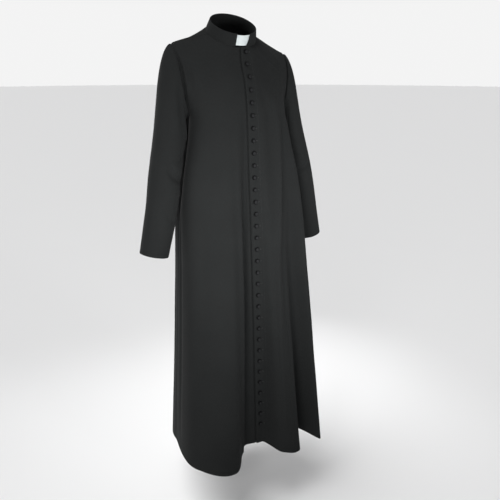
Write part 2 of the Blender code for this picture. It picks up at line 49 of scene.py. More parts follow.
FLOOR_Z = -1.52
FLOOR_RADIUS = 30.0
FLOOR_COLOUR = (0.80, 0.80, 0.80, 1)
FLOOR_ROUGHNESS = 0.9
ROOM_STOPS = [(0.06, (0.90, 0.90, 0.90, 1)), (0.30, (0.10, 0.10, 0.105, 1))]
CEILING_POWER = 2.7
CEILING_SPREAD = radians(50)
CEILING_FALL = (0.42, -0.12, -1.0)
CAMERA_SPOT = (-1.01477, -1.99867, -0.0474)
CAMERA_HEADING = (0.4768, 0.8790)
CAMERA_FALL = radians(16.014)
CAMERA_LENS = 50.0
SENSOR = 36.0

studio = bpy.context.scene
studio.view_settings.view_transform = "Standard"

round_floor = bmesh.new()
bmesh.ops.create_circle(round_floor, cap_ends=True, segments=96, radius=FLOOR_RADIUS)
for corner in round_floor.verts:
    corner.co.z = FLOOR_Z
floor_mesh = bpy.data.meshes.new("floor")
round_floor.to_mesh(floor_mesh)
round_floor.free()
floor = bpy.data.objects.new("floor", floor_mesh)
studio.collection.objects.link(floor)
floor_paint = bpy.data.materials.new("floor_paint")
floor_paint.use_nodes = True
matt = floor_paint.node_tree.nodes["Principled BSDF"]
matt.inputs["Base Color"].default_value = FLOOR_COLOUR
matt.inputs["Roughness"].default_value = FLOOR_ROUGHNESS
floor_mesh.materials.append(floor_paint)


class Strand:
    """A socket in a tree of nodes. Sums on it add Math nodes, node() adds any other, and feed()
    links it to an input of one that is there already."""

    def __init__(self, tree, socket=None):
        self.tree = tree
        self.socket = socket

    def node(self, kind, settings=None, sockets=None, take=0):
        made = self.tree.nodes.new(kind)
        for name, value in (settings or {}).items():
            if name == "stops":
                for k, (place, colour) in enumerate(value):
                    ramp = made.color_ramp.elements
                    stop = ramp[k] if k < len(ramp) else ramp.new(place)
                    stop.position, stop.color = place, colour
            else:
                setattr(made, name, value)
        for key, value in (sockets or {}).items():
            if isinstance(value, Strand):
                self.tree.links.new(value.socket, made.inputs[key])
            else:
                made.inputs[key].default_value = value
        return Strand(self.tree, made.outputs[take])

    def feed(self, made, name):
        self.tree.links.new(self.socket, made.inputs[name])

    def sum(self, operation, *values):
        return self.node("ShaderNodeMath", {"operation": operation}, dict(enumerate(values)))

    def __add__(self, other):
        return self.sum("ADD", self, other)

    def __sub__(self, other):
        return self.sum("SUBTRACT", self, other)

    def __rsub__(self, other):
        return self.sum("SUBTRACT", other, self)

    def __mul__(self, other):
        return self.sum("MULTIPLY", self, other)

    __radd__ = __add__
    __rmul__ = __mul__


room = bpy.data.worlds.new("room")
room.use_nodes = True
air = Strand(room.node_tree)
direction = air.node("ShaderNodeTexCoord", None, None, 0)
height = air.node("ShaderNodeSeparateXYZ", None, {0: direction}, 2)
walls = air.node("ShaderNodeValToRGB", {"stops": ROOM_STOPS}, {0: height})
walls.feed(room.node_tree.nodes["Background"], "Color")
studio.world = room


def hang_softbox(name, spot, aim, size, power, spread):
    """A square softbox that faces the point it is aimed at, with a grid that narrows its beam."""
    lamp = bpy.data.lights.new(name, "AREA")
    lamp.shape = "SQUARE"
    lamp.size = size
    lamp.energy = power
    lamp.spread = radians(spread)
    box = bpy.data.objects.new(name, lamp)
    box.location = spot
    box.rotation_euler = (Vector(aim) - Vector(spot)).to_track_quat("-Z", "Y").to_euler()
    studio.collection.objects.link(box)


hang_softbox("softbox_near", spot=(-0.95, -1.25, -0.48), aim=(-0.02, -0.15, -0.54),
             size=0.4, power=3.9, spread=78.0)
hang_softbox("softbox_far", spot=(0.35, -1.95, -0.48), aim=(0.01, -0.10, -0.55),
             size=0.4, power=2.5, spread=47.0)
hang_softbox("softbox_back_left", spot=(1.62, 1.70, -0.70), aim=(0.05, 0.05, -0.65),
             size=0.6, power=13.0, spread=80.0)
hang_softbox("softbox_back_right", spot=(-0.70, 2.30, -0.60), aim=(-0.05, 0.05, -0.60),
             size=0.8, power=2.0, spread=70.0)

ceiling_lamp = bpy.data.lights.new("ceiling", "SUN")
ceiling_lamp.energy = CEILING_POWER
ceiling_lamp.angle = CEILING_SPREAD
ceiling = bpy.data.objects.new("ceiling", ceiling_lamp)
ceiling.rotation_euler = Vector(CEILING_FALL).to_track_quat("-Z", "Y").to_euler()
studio.collection.objects.link(ceiling)

lens = bpy.data.cameras.new("camera")
lens.lens = CAMERA_LENS
lens.sensor_width = SENSOR
camera = bpy.data.objects.new("camera", lens)
camera.location = CAMERA_SPOT
looking = Vector((CAMERA_HEADING[0] * cos(CAMERA_FALL), CAMERA_HEADING[1] * cos(CAMERA_FALL),
                  -sin(CAMERA_FALL)))
camera.rotation_euler = looking.to_track_quat("-Z", "Y").to_euler()
studio.collection.objects.link(camera)
studio.camera = camera


# ======================== right front
# The wearer's right front, of black wool suiting, turned up at the hem. Its edge runs on under the
# left front as the underlap that the buttons are sewn to, and sinks a little to make room for it.
# It is cut with the panels it is sewn to, and what it shares with them stands in this section.

# Every panel of the body is read from one surface, by level and lap. Level 0 is the hem, 1 the
# underarm, 2 the shoulder seam; lap 0 is the centre front, 1 and -1 the left and right side
# seams, 2 and -2 the centre back.
NECK_HALF_WIDTH = 0.0785
NECK_HALF_DEPTH = 0.0770
NECK_CENTRE_Y = -0.0045
NECK_TILT = radians(25.3)
NECK_RISE = np.array([0, -sin(NECK_TILT), cos(NECK_TILT)])
HEM_Z = -1.322
UNDERARM_Z = -0.245
NECK_SHARE = 0.60
FRONT_CUT = 0.22
BACK_CUT = 0.32
ARMHOLE_CUT_SHARE = 0.35
SHOULDER_DROP = 0.0150
SHOULDER_DROP_START = 0.050
SHOULDER_DROP_END = -0.30
SHOULDER_SHARE = 0.4875
HEM_DIP = 0.30
CURVE_STEPS = 900
ARC_STEPS = 150
ROW_STEPS = 80
NUDGE = 1e-3

# Half sections by height. A run is the length of one handle of a row's curve: front and back ones
# are shares of the half width, side and rear ones of the depth. A turn, in degrees, is how far the
# handle at the side leans out.
Level = namedtuple("Level", "z front_y back_y side_x side_y front_run side_run turn "
                            "back_run rear_run rear_turn")
LEVELS = [
    Level(-1.322, -0.186, 0.140, 0.234, -0.030, 0.72, 0.70, 0, 0.64, 0.56, 0),
    Level(-1.050, -0.176, 0.126, 0.222, -0.030, 0.72, 0.70, 0, 0.64, 0.58, 0),
    Level(-0.750, -0.162, 0.110, 0.208, -0.028, 0.74, 0.70, 4, 0.64, 0.63, 0),
    Level(-0.560, -0.150, 0.100, 0.195, -0.022, 0.78, 0.72, 12, 0.68, 0.66, 6),
    Level(-0.420, -0.139, 0.096, 0.173, -0.014, 0.84, 0.74, 24, 0.72, 0.66, 12),
    Level(-0.320, -0.1335, 0.099, 0.153, -0.006, 0.90, 0.74, 22, 0.78, 0.66, 14),
    Level(-0.245, -0.128, 0.102, 0.145, 0.000, 0.92, 0.74, 14, 0.82, 0.68, 10),
]
Centre = namedtuple("Centre", "z y")
CHEST = [Centre(-0.245, -0.1280), Centre(-0.180, -0.1180), Centre(-0.135, -0.1080),
         Centre(-0.075, -0.0850), Centre(-0.0378, -0.0800)]
NAPE = [Centre(-0.245, 0.1020), Centre(-0.150, 0.1030), Centre(-0.060, 0.0960),
        Centre(0.000, 0.0830), Centre(0.0350, 0.0730)]

# The wearer's left armhole, from the underarm up the front, over the shoulder and down the back
ARMHOLE = np.array([
    (0.145, 0.000, -0.245), (0.160, -0.033, -0.225), (0.1755, -0.046, -0.163),
    (0.1875, -0.036, -0.090), (0.194, 0.008, -0.040), (0.187, 0.054, -0.088),
    (0.174, 0.062, -0.162), (0.160, 0.043, -0.224),
])

# Folds: place is the lap at the hem, drift the change of lap up to the fold's top, reach how far
# the hem swings along heading (degrees from straight ahead, + to the wearer's left).
Fold = namedtuple("Fold", "place drift reach heading right_width left_width top_z growth")
FOLDS = [
    Fold(-0.36, 0.06, 0.094, -6, 0.32, 0.22, -0.30, 1.1),
    Fold(-0.66, 0.00, 0.080, -18, 0.36, 0.34, -0.35, 1.3),
    Fold(-0.84, 0.00, 0.008, -60, 0.20, 0.20, -0.50, 1.3),
    Fold(0.165, 0.00, 0.064, 6, 0.12, 0.17, -0.16, 1.2),
    Fold(0.33, 0.00, 0.084, 8, 0.18, 0.17, -0.30, 1.3),
    Fold(0.685, 0.00, 0.100, 14, 0.18, 0.32, -0.10, 0.95),
    Fold(1.50, 0.00, 0.040, 160, 0.22, 0.22, -0.45, 1.2),
    Fold(2.00, 0.00, 0.035, 180, 0.20, 0.20, -0.50, 1.2),
    Fold(-1.50, 0.00, 0.040, -160, 0.22, 0.22, -0.45, 1.2),
]


def through(rows, station, column, at):
    """Read a table's column at any station, on a smooth curve that never overshoots its rows."""
    table = sorted(rows, key=lambda row: getattr(row, station))
    x = np.array([getattr(row, station) for row in table])
    y = np.array([getattr(row, column) for row in table])
    step = np.diff(x)
    rise = np.diff(y) / step
    slope = np.concatenate([rise[:1], np.zeros(len(x) - 2), rise[-1:]])
    for i in range(1, len(x) - 1):
        if rise[i - 1] * rise[i] > 0:
            before = 2 * step[i] + step[i - 1]
            after = step[i] + 2 * step[i - 1]
            slope[i] = (before + after) / (before / rise[i - 1] + after / rise[i])
    i = int(np.clip(np.searchsorted(x, at) - 1, 0, len(x) - 2))
    t = (at - x[i]) / step[i]
    return (y[i] * (1 + 2 * t) * (1 - t) ** 2 + y[i + 1] * t * t * (3 - 2 * t)
            + step[i] * t * (1 - t) * (slope[i] * (1 - t) - slope[i + 1] * t))


def bezier(start, lead, follow, end, t):
    """Points of a cubic curve at the shares t, one row for each share."""
    t = np.asarray(t)[:, None]
    return ((1 - t) ** 3 * start + 3 * t * (1 - t) ** 2 * lead
            + 3 * t * t * (1 - t) * follow + t ** 3 * end)


def shorten(ends, cut):
    """The control points of a cubic curve's first stretch, up to the share cut."""
    start, lead, follow, end = ends
    a = start + (lead - start) * cut
    b = lead + (follow - lead) * cut
    c = follow + (end - follow) * cut
    d = a + (b - a) * cut
    e = b + (c - b) * cut
    return start, a, d, d + (e - d) * cut


def by_length(points, shares):
    """Points at the given shares of a polyline's length."""
    length = np.concatenate([[0], np.cumsum(np.linalg.norm(np.diff(points, axis=0), axis=1))])
    length /= length[-1]
    return np.stack([np.interp(shares, length, points[:, axis]) for axis in range(3)], axis=1)


def smooth_step(t):
    t = np.clip(t, 0, 1)
    return t * t * (3 - 2 * t)


def unit(vectors):
    return vectors / np.linalg.norm(vectors, axis=-1, keepdims=True)


def armhole_curve():
    """The wearer's left armhole as a closed curve through its table, evenly spaced."""
    curve = []
    for i in range(len(ARMHOLE)):
        before, start, end, after = (ARMHOLE[(i + k) % len(ARMHOLE)] for k in (-1, 0, 1, 2))
        curve.append(bezier(start, start + (end - before) / 6, end - (after - start) / 6, end,
                            np.linspace(0, 1, ARC_STEPS, endpoint=False)))
    curve = np.concatenate(curve + [curve[0][:1]])
    return by_length(curve, np.linspace(0, 1, 2 * CURVE_STEPS + 1))


ARMHOLE_CURVE = armhole_curve()


def armhole_point(shares):
    """Points of the left armhole: 0 and 1 are the underarm, SHOULDER_SHARE the shoulder."""
    spread = np.linspace(0, 1, len(ARMHOLE_CURVE))
    shares = np.asarray(shares) % 1.0
    return np.stack([np.interp(shares, spread, line) for line in ARMHOLE_CURVE.T], axis=-1)


def neck_point(angle):
    """A point of the neck ring; angle 0 is the centre front, pi / 2 the wearer's left side."""
    y = NECK_CENTRE_Y - NECK_HALF_DEPTH * cos(angle)
    return np.array([NECK_HALF_WIDTH * sin(angle), y, tan(NECK_TILT) * (y - NECK_CENTRE_Y)])


def section(level, rear):
    """A row below the underarm, wearer's left half: its centre, two handles and its side."""
    z = HEM_Z + (UNDERARM_Z - HEM_Z) * level
    at = {name: through(LEVELS, "z", name, z) for name in Level._fields if name != "z"}
    side = np.array([at["side_x"], at["side_y"], z])
    if rear:
        centre = np.array([0, at["back_y"], z])
        run, reach, lean = at["back_run"], at["rear_run"], radians(at["rear_turn"])
    else:
        centre = np.array([0, at["front_y"], z])
        run, reach, lean = at["front_run"], at["side_run"], radians(at["turn"])
    depth = centre[1] - side[1]
    lead = centre + [run * side[0], 0, 0]
    follow = side + [reach * abs(depth) * sin(lean), reach * depth * cos(lean), 0]
    return centre, lead, follow, side


def yoke(level, rear):
    """A row above the underarm: from the centre line or the neck ring out to the armhole."""
    share = level - 1
    line = NAPE if rear else CHEST
    if share < NECK_SHARE:
        z = UNDERARM_Z + (line[-1].z - UNDERARM_Z) * share / NECK_SHARE
        centre = np.array([0, through(line, "z", "y", z), z])
    else:
        turn = (share - NECK_SHARE) / (1 - NECK_SHARE) * pi / 2
        centre = neck_point(pi - turn if rear else turn)
    side = armhole_point(1 - share * (1 - SHOULDER_SHARE) if rear else share * SHOULDER_SHARE)
    cut = 1 - (BACK_CUT if rear else FRONT_CUT) * sin(pi / 2 * min(share / ARMHOLE_CUT_SHARE, 1))
    first = shorten(section(1.0, rear), cut)
    curved = 0.5 + 0.5 * cos(pi * share)
    chord = side - centre
    lead = centre + curved * (first[1] - first[0]) + (1 - curved) * chord / 3
    follow = side + curved * (first[2] - first[3]) - (1 - curved) * chord / 3
    return centre, lead, follow, side


def body_row(level, laps):
    """Points of one row at the given laps. Above the underarm -0.0 lies on the wearer's right."""
    laps = np.asarray(laps, float)
    rear = bool(np.max(np.abs(laps)) > 1.0 + 1e-6)
    ends = section(level, rear) if level <= 1 else yoke(level, rear)
    share = 2 - np.abs(laps) if rear else np.abs(laps)
    points = by_length(bezier(*ends, np.linspace(0, 1, CURVE_STEPS + 1)), share)
    points[:, 0] *= np.where(np.signbit(laps), -1, 1)
    return settle(swing(points, laps))


def swing(points, laps):
    """Move points by the folds, which grow from nothing at their tops to the hem."""
    moved = points.copy()
    for fold in FOLDS:
        drop = np.clip((fold.top_z - points[:, 2]) / (fold.top_z - HEM_Z), 0, 1.1)
        offset = (laps - fold.place - fold.drift * (1 - drop) + 2) % 4 - 2
        width = np.where(offset < 0, fold.right_width, fold.left_width)
        hump = 0.5 + 0.5 * np.cos(pi * np.clip(offset / width, -1, 1))
        out = fold.reach * drop ** fold.growth * hump
        moved += out[:, None] * [sin(radians(fold.heading)), -cos(radians(fold.heading)), -HEM_DIP]
    return moved


def settle(points):
    """Let the wearer's left shoulder hang a little below the right one."""
    settled = points.copy()
    out = np.abs(points[..., 0])
    tip_x, tip_z = ARMHOLE[4][0], ARMHOLE[4][2]
    share = smooth_step((out - SHOULDER_DROP_START) / (tip_x - SHOULDER_DROP_START))
    share = share * smooth_step((points[..., 2] - SHOULDER_DROP_END) / (tip_z - SHOULDER_DROP_END))
    settled[..., 2] -= SHOULDER_DROP * share * np.sign(points[..., 0])
    return settled


def surface(levels, laps):
    """Points and outward normals over levels and laps; laps may differ from row to row."""
    laps = np.broadcast_to(laps, (len(levels), np.shape(laps)[-1]))
    rear = np.max(np.abs(laps)) > 1
    hand = np.sign(np.sum(laps))
    points, along, up = [], [], []
    for level, at in zip(levels, laps):
        if rear:
            near = np.sign(at) * np.clip(np.abs(at), 1 + NUDGE, 2 - NUDGE)
        elif level > 1 + NECK_SHARE:
            near = hand * np.clip(hand * at, NUDGE, 1 - NUDGE)
        else:
            near = np.clip(at, NUDGE - 1, 1 - NUDGE)
        points.append(body_row(level, at))
        along.append(body_row(level, near + NUDGE) - body_row(level, near - NUDGE))
        up.append(body_row(min(level + NUDGE, 2), near) - body_row(level - NUDGE, near))
    return np.array(points), unit(np.cross(along, up))


def half_length(level, rear):
    """Length of a row from the centre to the side seam or the armhole, before it is folded."""
    ends = section(level, rear) if level <= 1 else yoke(level, rear)
    line = bezier(*ends, np.linspace(0, 1, ROW_STEPS + 1))
    return np.sum(np.linalg.norm(np.diff(line, axis=0), axis=1))


# The cloth keeps soft, uneven creases: it drags from the armholes and waves a little all over, but
# lies still where it is sewn to the sleeve and the collar.
Wave = namedtuple("Wave", "millimetres across down")
WAVES = [Wave(1.3, 8.0, 3.0), Wave(0.55, 21.0, 8.0), Wave(0.16, 55.0, 26.0)]
ARMHOLE_STILL = 0.020
NECK_STILL = 0.018
SEAM_SINK = 0.0009
SEAM_WIDTH = 0.0034
ARMHOLE_SINK = 0.0085
ARMHOLE_SINK_WIDTH = 0.0068
ARMHOLE_SINK_SHARES = [(-0.250, 0.05), (-0.222, 0.20), (-0.190, 1.0), (-0.095, 1.0), (-0.040, 0.25)]
CLOTH = 0.0014
HEM_CLOTH = 0.0024
HEM_DEPTH = 0.042
TURN_WIDTH = 0.003
EDGE_LEAST = 0.3
SHARP_TURN = radians(50)
CREASE_TAPER = 0.7
CREASE_STEPS = 6
RIM_POINTS = 360
RING_POINTS = 180
FAR = 9.0

# A crease runs through its stops, (level, lap) on the body; height is + for a ridge, in metres
Crease = namedtuple("Crease", "stops width height")
BODY_CREASES = [
    # The right front: a drag down from the armhole, and the long valley beside the front edge
    Crease([(1.70, -0.90), (1.55, -0.90), (1.38, -0.91)], 0.012, -0.0060),
    Crease([(1.52, -0.74), (1.30, -0.70), (1.10, -0.69)], 0.020, 0.0030),
    Crease([(1.02, -0.055), (0.80, -0.074), (0.62, -0.094), (0.33, -0.118), (0.10, -0.126),
            (-0.06, -0.130)], 0.010, -0.0115),
    Crease([(1.04, -0.050), (0.76, -0.070), (0.56, -0.075), (0.33, -0.075), (0.10, -0.080),
            (-0.06, -0.080)], 0.018, -0.0145),
    Crease([(0.96, -0.160), (0.74, -0.170), (0.55, -0.185), (0.30, -0.200), (0.08, -0.205),
            (-0.08, -0.205)], 0.012, 0.0095),
    Crease([(0.74, -0.935), (0.50, -0.925), (0.25, -0.905), (0.02, -0.890)], 0.009, -0.0045),
    Crease([(0.90, -0.56), (0.62, -0.52), (0.30, -0.50)], 0.026, 0.0030),
    Crease([(0.46, -0.66), (0.24, -0.68), (-0.02, -0.70)], 0.020, -0.0035),
    # The left front: a hollow under the chest, a ridge that runs out of it, and the line beside it
    Crease([(1.50, 0.10), (1.29, 0.24), (1.08, 0.30), (0.90, 0.27), (0.72, 0.20)], 0.015, -0.0035),
    Crease([(1.72, 0.14), (1.48, 0.17), (1.18, 0.16)], 0.024, 0.0060),
    Crease([(1.74, 0.68), (1.54, 0.62), (1.26, 0.58)], 0.030, -0.0060),
    Crease([(1.24, 0.50), (1.06, 0.46), (0.82, 0.37), (0.60, 0.245), (0.36, 0.215), (0.00, 0.205)],
           0.0105, 0.0105),
    Crease([(0.84, 0.46), (0.62, 0.345), (0.45, 0.315), (0.33, 0.320), (0.15, 0.315), (-0.05, 0.31)],
           0.011, -0.0062),
    Crease([(1.62, 0.86), (1.40, 0.84), (1.18, 0.80), (1.00, 0.74)], 0.012, -0.0028),
    Crease([(0.92, 0.90), (0.72, 0.88), (0.50, 0.90)], 0.014, -0.0035),
    Crease([(0.52, 0.52), (0.34, 0.54), (0.10, 0.55), (-0.04, 0.55)], 0.018, 0.0045),
    # Under both arms and down the back
    Crease([(1.20, 1.12), (1.02, 1.16), (0.86, 1.24)], 0.013, -0.0055),
    Crease([(1.22, -1.12), (1.04, -1.17), (0.84, -1.22)], 0.014, -0.0060),
    Crease([(1.62, 1.30), (1.34, 1.34), (1.06, 1.43), (0.80, 1.47)], 0.017, -0.0105),
    Crease([(1.60, -1.28), (1.30, -1.33), (1.00, -1.45), (0.78, -1.50)], 0.016, -0.0100),
    Crease([(1.30, 1.56), (1.04, 1.62), (0.80, 1.63)], 0.018, 0.0070),
    Crease([(1.72, 1.74), (1.56, 1.82), (1.46, 1.93)], 0.016, -0.0035),
    Crease([(1.74, -1.76), (1.58, -1.86), (1.50, -1.96)], 0.016, -0.0030),
    Crease([(1.04, 1.76), (0.74, 1.74), (0.40, 1.71), (0.06, 1.70), (-0.06, 1.70)], 0.016, -0.0140),
    Crease([(0.94, -1.62), (0.66, -1.67), (0.30, -1.72), (0.00, -1.74), (-0.06, -1.74)],
           0.017, -0.0130),
    Crease([(0.78, 1.90), (0.42, 1.87), (0.10, 1.86), (-0.06, 1.86)], 0.014, 0.0085),
    Crease([(0.72, 1.36), (0.42, 1.30), (0.10, 1.27), (-0.06, 1.26)], 0.014, -0.0110),
    Crease([(0.68, -1.36), (0.40, -1.31), (0.06, -1.30), (-0.06, -1.30)], 0.014, -0.0105),
    Crease([(0.66, -1.50), (0.32, -1.50), (0.02, -1.51), (-0.06, -1.51)], 0.014, 0.0080),
    Crease([(0.62, 1.08), (0.36, 1.10), (0.04, 1.12)], 0.014, -0.0050),
    Crease([(0.60, -1.10), (0.34, -1.12), (0.02, -1.12)], 0.014, -0.0050),
]


def trail(stops, place):
    """Points along a crease: its stops joined by a soft curve."""
    stops = np.array(stops, float)
    knots = np.linspace(0, 1, len(stops))
    t = np.linspace(0, 1, CREASE_STEPS * (len(stops) - 1) + 1)
    soft = [np.interp(t, knots, stops[:, k]) for k in (0, 1)]
    for line in soft:
        line[1:-1] = 0.25 * line[:-2] + 0.5 * line[1:-1] + 0.25 * line[2:]
    return np.array([place(a, b) for a, b in zip(*soft)])


def creased(points, creases, place):
    """How far each point stands out or in for the creases."""
    flat = points.reshape(-1, 3)
    out = np.zeros(len(flat))
    for crease in creases:
        line = trail(crease.stops, place)
        low, high = line.min(axis=0) - 3 * crease.width, line.max(axis=0) + 3 * crease.width
        near = np.flatnonzero(np.all((flat > low) & (flat < high), axis=1))
        if not len(near):
            continue
        spots = flat[near]
        best, along = np.full(len(near), FAR), np.zeros(len(near))
        for k, (a, b) in enumerate(zip(line, line[1:])):
            share = np.clip((spots - a) @ (b - a) / max((b - a) @ (b - a), 1e-12), 0, 1)
            gap = np.linalg.norm(spots - a - share[:, None] * (b - a), axis=1)
            closer = gap < best
            best = np.where(closer, gap, best)
            along = np.where(closer, (k + share) / (len(line) - 1), along)
        taper = np.sin(pi * np.clip(along, 0, 1)) ** CREASE_TAPER
        out[near] += crease.height * taper * np.exp(-(best / crease.width) ** 2)
    return out.reshape(points.shape[:-1])


def waved(points):
    """The cloth's own unevenness, longer up and down than across."""
    flat = points.reshape(-1, 3)
    out = np.zeros(len(flat))
    for wave in WAVES:
        stretched = flat * [wave.across, wave.across, wave.down]
        out += wave.millimetres / 1000 * np.array([noise.noise(Vector(spot)) for spot in stretched])
    return out.reshape(points.shape[:-1])


def distance_to(points, line):
    """The least distance from each point to a polyline's points."""
    flat = points.reshape(-1, 3)
    best = np.full(len(flat), FAR)
    for spot in line:
        best = np.minimum(best, np.linalg.norm(flat - spot, axis=1))
    return best.reshape(points.shape[:-1])


def armhole_gap(points):
    """The distance from each point to the armhole seam on its own side."""
    flat = points.reshape(-1, 3)
    gap = np.full(len(flat), FAR)
    for hand in (1, -1):
        rim = armhole_point(np.linspace(0, 1, RIM_POINTS, endpoint=False))
        rim = settle(rim * np.array([hand, 1, 1]))
        mine = flat[:, 0] * hand > 0
        gap[mine] = distance_to(flat[mine], rim)
    return gap.reshape(points.shape[:-1])


def neck_gap(points):
    """The distance from each point to the collar seam."""
    angles = np.linspace(0, 2 * pi, RING_POINTS, endpoint=False)
    return distance_to(points, settle(np.array([neck_point(angle) for angle in angles])))


def sunk(distance, depth=SEAM_SINK, width=SEAM_WIDTH):
    """How far the cloth turns in beside a seam."""
    return depth * (1 - smooth_step(distance / width))


def thickened(distance, depth):
    """The cloth's thickness, greater where it is turned up on itself to this depth."""
    return CLOTH + (HEM_CLOTH - CLOTH) * (1 - smooth_step((distance - depth) / TURN_WIDTH))


def rounded(distance, thickness):
    """The share of the thickness left beside a free edge, which is turned and pressed round."""
    short = np.clip(1 - distance / (thickness / 2), 0, 1)
    return np.maximum(np.sqrt(1 - short ** 2), EDGE_LEAST)


def lengths(points, axis):
    """Distances along the rows (axis 1) or columns (axis 0) of a grid, from its first point."""
    steps = np.linalg.norm(np.diff(points, axis=axis), axis=-1)
    start = np.zeros_like(np.take(steps, [0], axis))
    return np.concatenate([start, np.cumsum(steps, axis)], axis)


def shell(name, outer, normals, thickness, edge, weave, finish, exists=None, joined=None):
    """A closed cloth shell with a weave map in metres.

    Rows run upwards and columns anticlockwise seen from above. edge is the share of the thickness
    left at each point, exists(i, j) says whether a cell is part of the piece, and joined is
    (rows, column, next column) where two columns are one.
    """
    rows, columns = outer.shape[:2]
    half = (thickness * edge / 2)[..., None] * normals
    middle = outer - normals * (thickness / 2)[..., None]
    number = np.arange(rows * columns).reshape(rows, columns)
    if joined:
        number[joined[0], joined[2]] = number[joined[0], joined[1]]
    cells = np.array([(i, j) for i in range(rows - 1) for j in range(columns - 1)
                      if exists is None or exists(i, j)])
    i, j = cells[:, 0], cells[:, 1]
    quads = np.stack([number[i, j], number[i, j + 1], number[i + 1, j + 1], number[i + 1, j]], 1)
    used = np.unique(quads)
    slot_of = np.full(rows * columns, -1)
    slot_of[used] = np.arange(len(used))
    quads = slot_of[quads]
    shift = len(used)
    spots = np.concatenate([side.reshape(-1, 3)[used] for side in (middle + half, middle - half)])
    sides = np.stack([quads, np.roll(quads, -1, axis=1)], axis=-1).reshape(-1, 2)
    known = {tuple(side) for side in sides.tolist()}
    rim = [(b, a, a + shift, b + shift) for a, b in known if (b, a) not in known]
    faces = quads.tolist() + (quads[:, ::-1] + shift).tolist() + sorted(rim)
    mesh = bpy.data.meshes.new(name)
    mesh.from_pydata(spots.tolist(), [], faces)
    mesh.shade_smooth()
    mesh.set_sharp_from_angle(angle=SHARP_TURN)
    flat = np.tile(weave.reshape(-1, 2)[used], (2, 1))
    corner = np.zeros(len(mesh.loops), dtype=np.int32)
    mesh.loops.foreach_get("vertex_index", corner)
    mesh.uv_layers.new(name="weave").data.foreach_set("uv", flat[corner].ravel())
    mesh.materials.append(finish)
    piece = bpy.data.objects.new(name, mesh)
    studio.collection.objects.link(piece)
    return piece


# The suiting is a black wool twill, dyed in the yarn: fine diagonal ribs, a slightly mixed colour,
# a soft nap that takes a faint sheen at a slant, and hardly any gloss.
SUITING_DARK = (0.0100, 0.0107, 0.0108, 1)
SUITING_LIGHT = (0.0170, 0.0179, 0.0178, 1)
TWILL_RIB = 0.0012
YARN = 0.0006
SLUBS_ACROSS = 900.0
SLUBS_DOWN = 130.0
WEAR_SCALE = 7.0
CLOTH_SPECULAR = 0.05


def new_finish(name):
    """A material with an unlinked Principled shader, and a strand to build its pattern from."""
    finish = bpy.data.materials.new(name)
    finish.use_nodes = True
    return finish, finish.node_tree.nodes["Principled BSDF"], Strand(finish.node_tree)


def woven(name, dark, light, rib, bump, relief, sheen, nap, rough, rim=None):
    """A twill finish that follows the piece's weave map. A rim is (from, to, colour) by radius from
    the map's centre: painted shade, a dark ring where a shadow would fall under a button's edge.
    """
    finish, cloth, start = new_finish(name)
    weave = start.node("ShaderNodeUVMap", {"uv_map": "weave"})
    across = weave.node("ShaderNodeSeparateXYZ", None, {0: weave}, 0)
    down = weave.node("ShaderNodeSeparateXYZ", None, {0: weave}, 1)
    ribs = start.sum("SINE", (across + down) * (2 * pi / rib))
    yarns = start.sum("SINE", (across - down) * (2 * pi / YARN))
    streaks = start.node("ShaderNodeCombineXYZ", None,
                         {0: across * SLUBS_ACROSS, 1: down * SLUBS_DOWN})
    slub = start.node("ShaderNodeTexNoise", {"noise_dimensions": "2D"},
                      {"Vector": streaks, "Scale": 1.0, "Detail": 2.0, "Roughness": 0.6})
    place = start.node("ShaderNodeTexCoord", None, None, 3)
    worn = start.node("ShaderNodeTexNoise", None,
                      {"Vector": place, "Scale": WEAR_SCALE, "Detail": 4.0, "Roughness": 0.55})
    # The colour comes from the slubs, the wear and the ribs, in these shares
    shade = slub * 0.55 + worn * 0.35 + ribs * 0.06
    colour = start.node("ShaderNodeValToRGB", {"stops": [(0.25, dark), (0.75, light)]}, {0: shade})
    # Painted shade: past the rim's radii the colour goes to the rim's near-black colour, for the
    # shadow round a button's edge
    if rim:
        out = start.node("ShaderNodeVectorMath", {"operation": "LENGTH"}, {0: weave}, 1)
        ring = start.node("ShaderNodeMapRange", {"interpolation_type": "SMOOTHSTEP"},
                          {0: out, 1: rim[0], 2: rim[1], 3: 0.0, 4: 1.0})
        colour = start.node("ShaderNodeMix", {"data_type": "RGBA"},
                            {0: ring, 6: colour, 7: rim[2]}, 2)
    # The relief comes from the ribs, the yarns and the slubs
    height = ribs * 0.6 + yarns * 0.25 + slub * 0.5
    raised = start.node("ShaderNodeBump", None,
                        {"Strength": bump, "Distance": relief, "Height": height})
    colour.feed(cloth, "Base Color")
    (worn * 0.16 + (rough - 0.08)).feed(cloth, "Roughness")
    raised.feed(cloth, "Normal")
    cloth.inputs["Sheen Weight"].default_value = sheen
    cloth.inputs["Sheen Roughness"].default_value = nap
    cloth.inputs["Specular IOR Level"].default_value = CLOTH_SPECULAR
    return finish


suiting = woven("black_suiting", dark=SUITING_DARK, light=SUITING_LIGHT, rib=TWILL_RIB, bump=0.22,
                relief=0.00022, sheen=0.02, nap=0.5, rough=0.90)


# Rows are closer beside the hem and the shoulder seam, and columns beside the seams and the front
# edge, where the cloth turns. The normals are shared across the seams, so the panels meet.
EDGE_X = -0.0055
UNDERLAP_X = 0.0240
SINK_START_X = -0.075
SINK_END_X = -0.010
SINK_FADE = 0.15
SINK_DEPTH = 0.0025
HEM_STEPS = np.array([0, 0.0004, 0.0012, 0.0030])
EDGE_STEPS = np.array([0, 0.0004, 0.0011, 0.0026])
SEAM_STEPS = np.array([0, 0.0007, 0.0018, 0.0036])
SEAM_MARGIN = 0.007
HEM_MARGIN = 0.006
SHOULDER_LEVELS = [1.9935, 1.9975, 2.0]
UNDERLAP_STEPS = [*np.linspace(0.004, 0.020, 5), 0.0226, 0.0234, 0.0238, UNDERLAP_X]
NECK_COLUMNS = 5
NAPE_COLUMNS = 4
SKIRT_ROWS = 226
CHEST_ROWS = 43
YOKE_ROWS = 33
FRONT_COLUMNS = 84
BACK_COLUMNS = 62

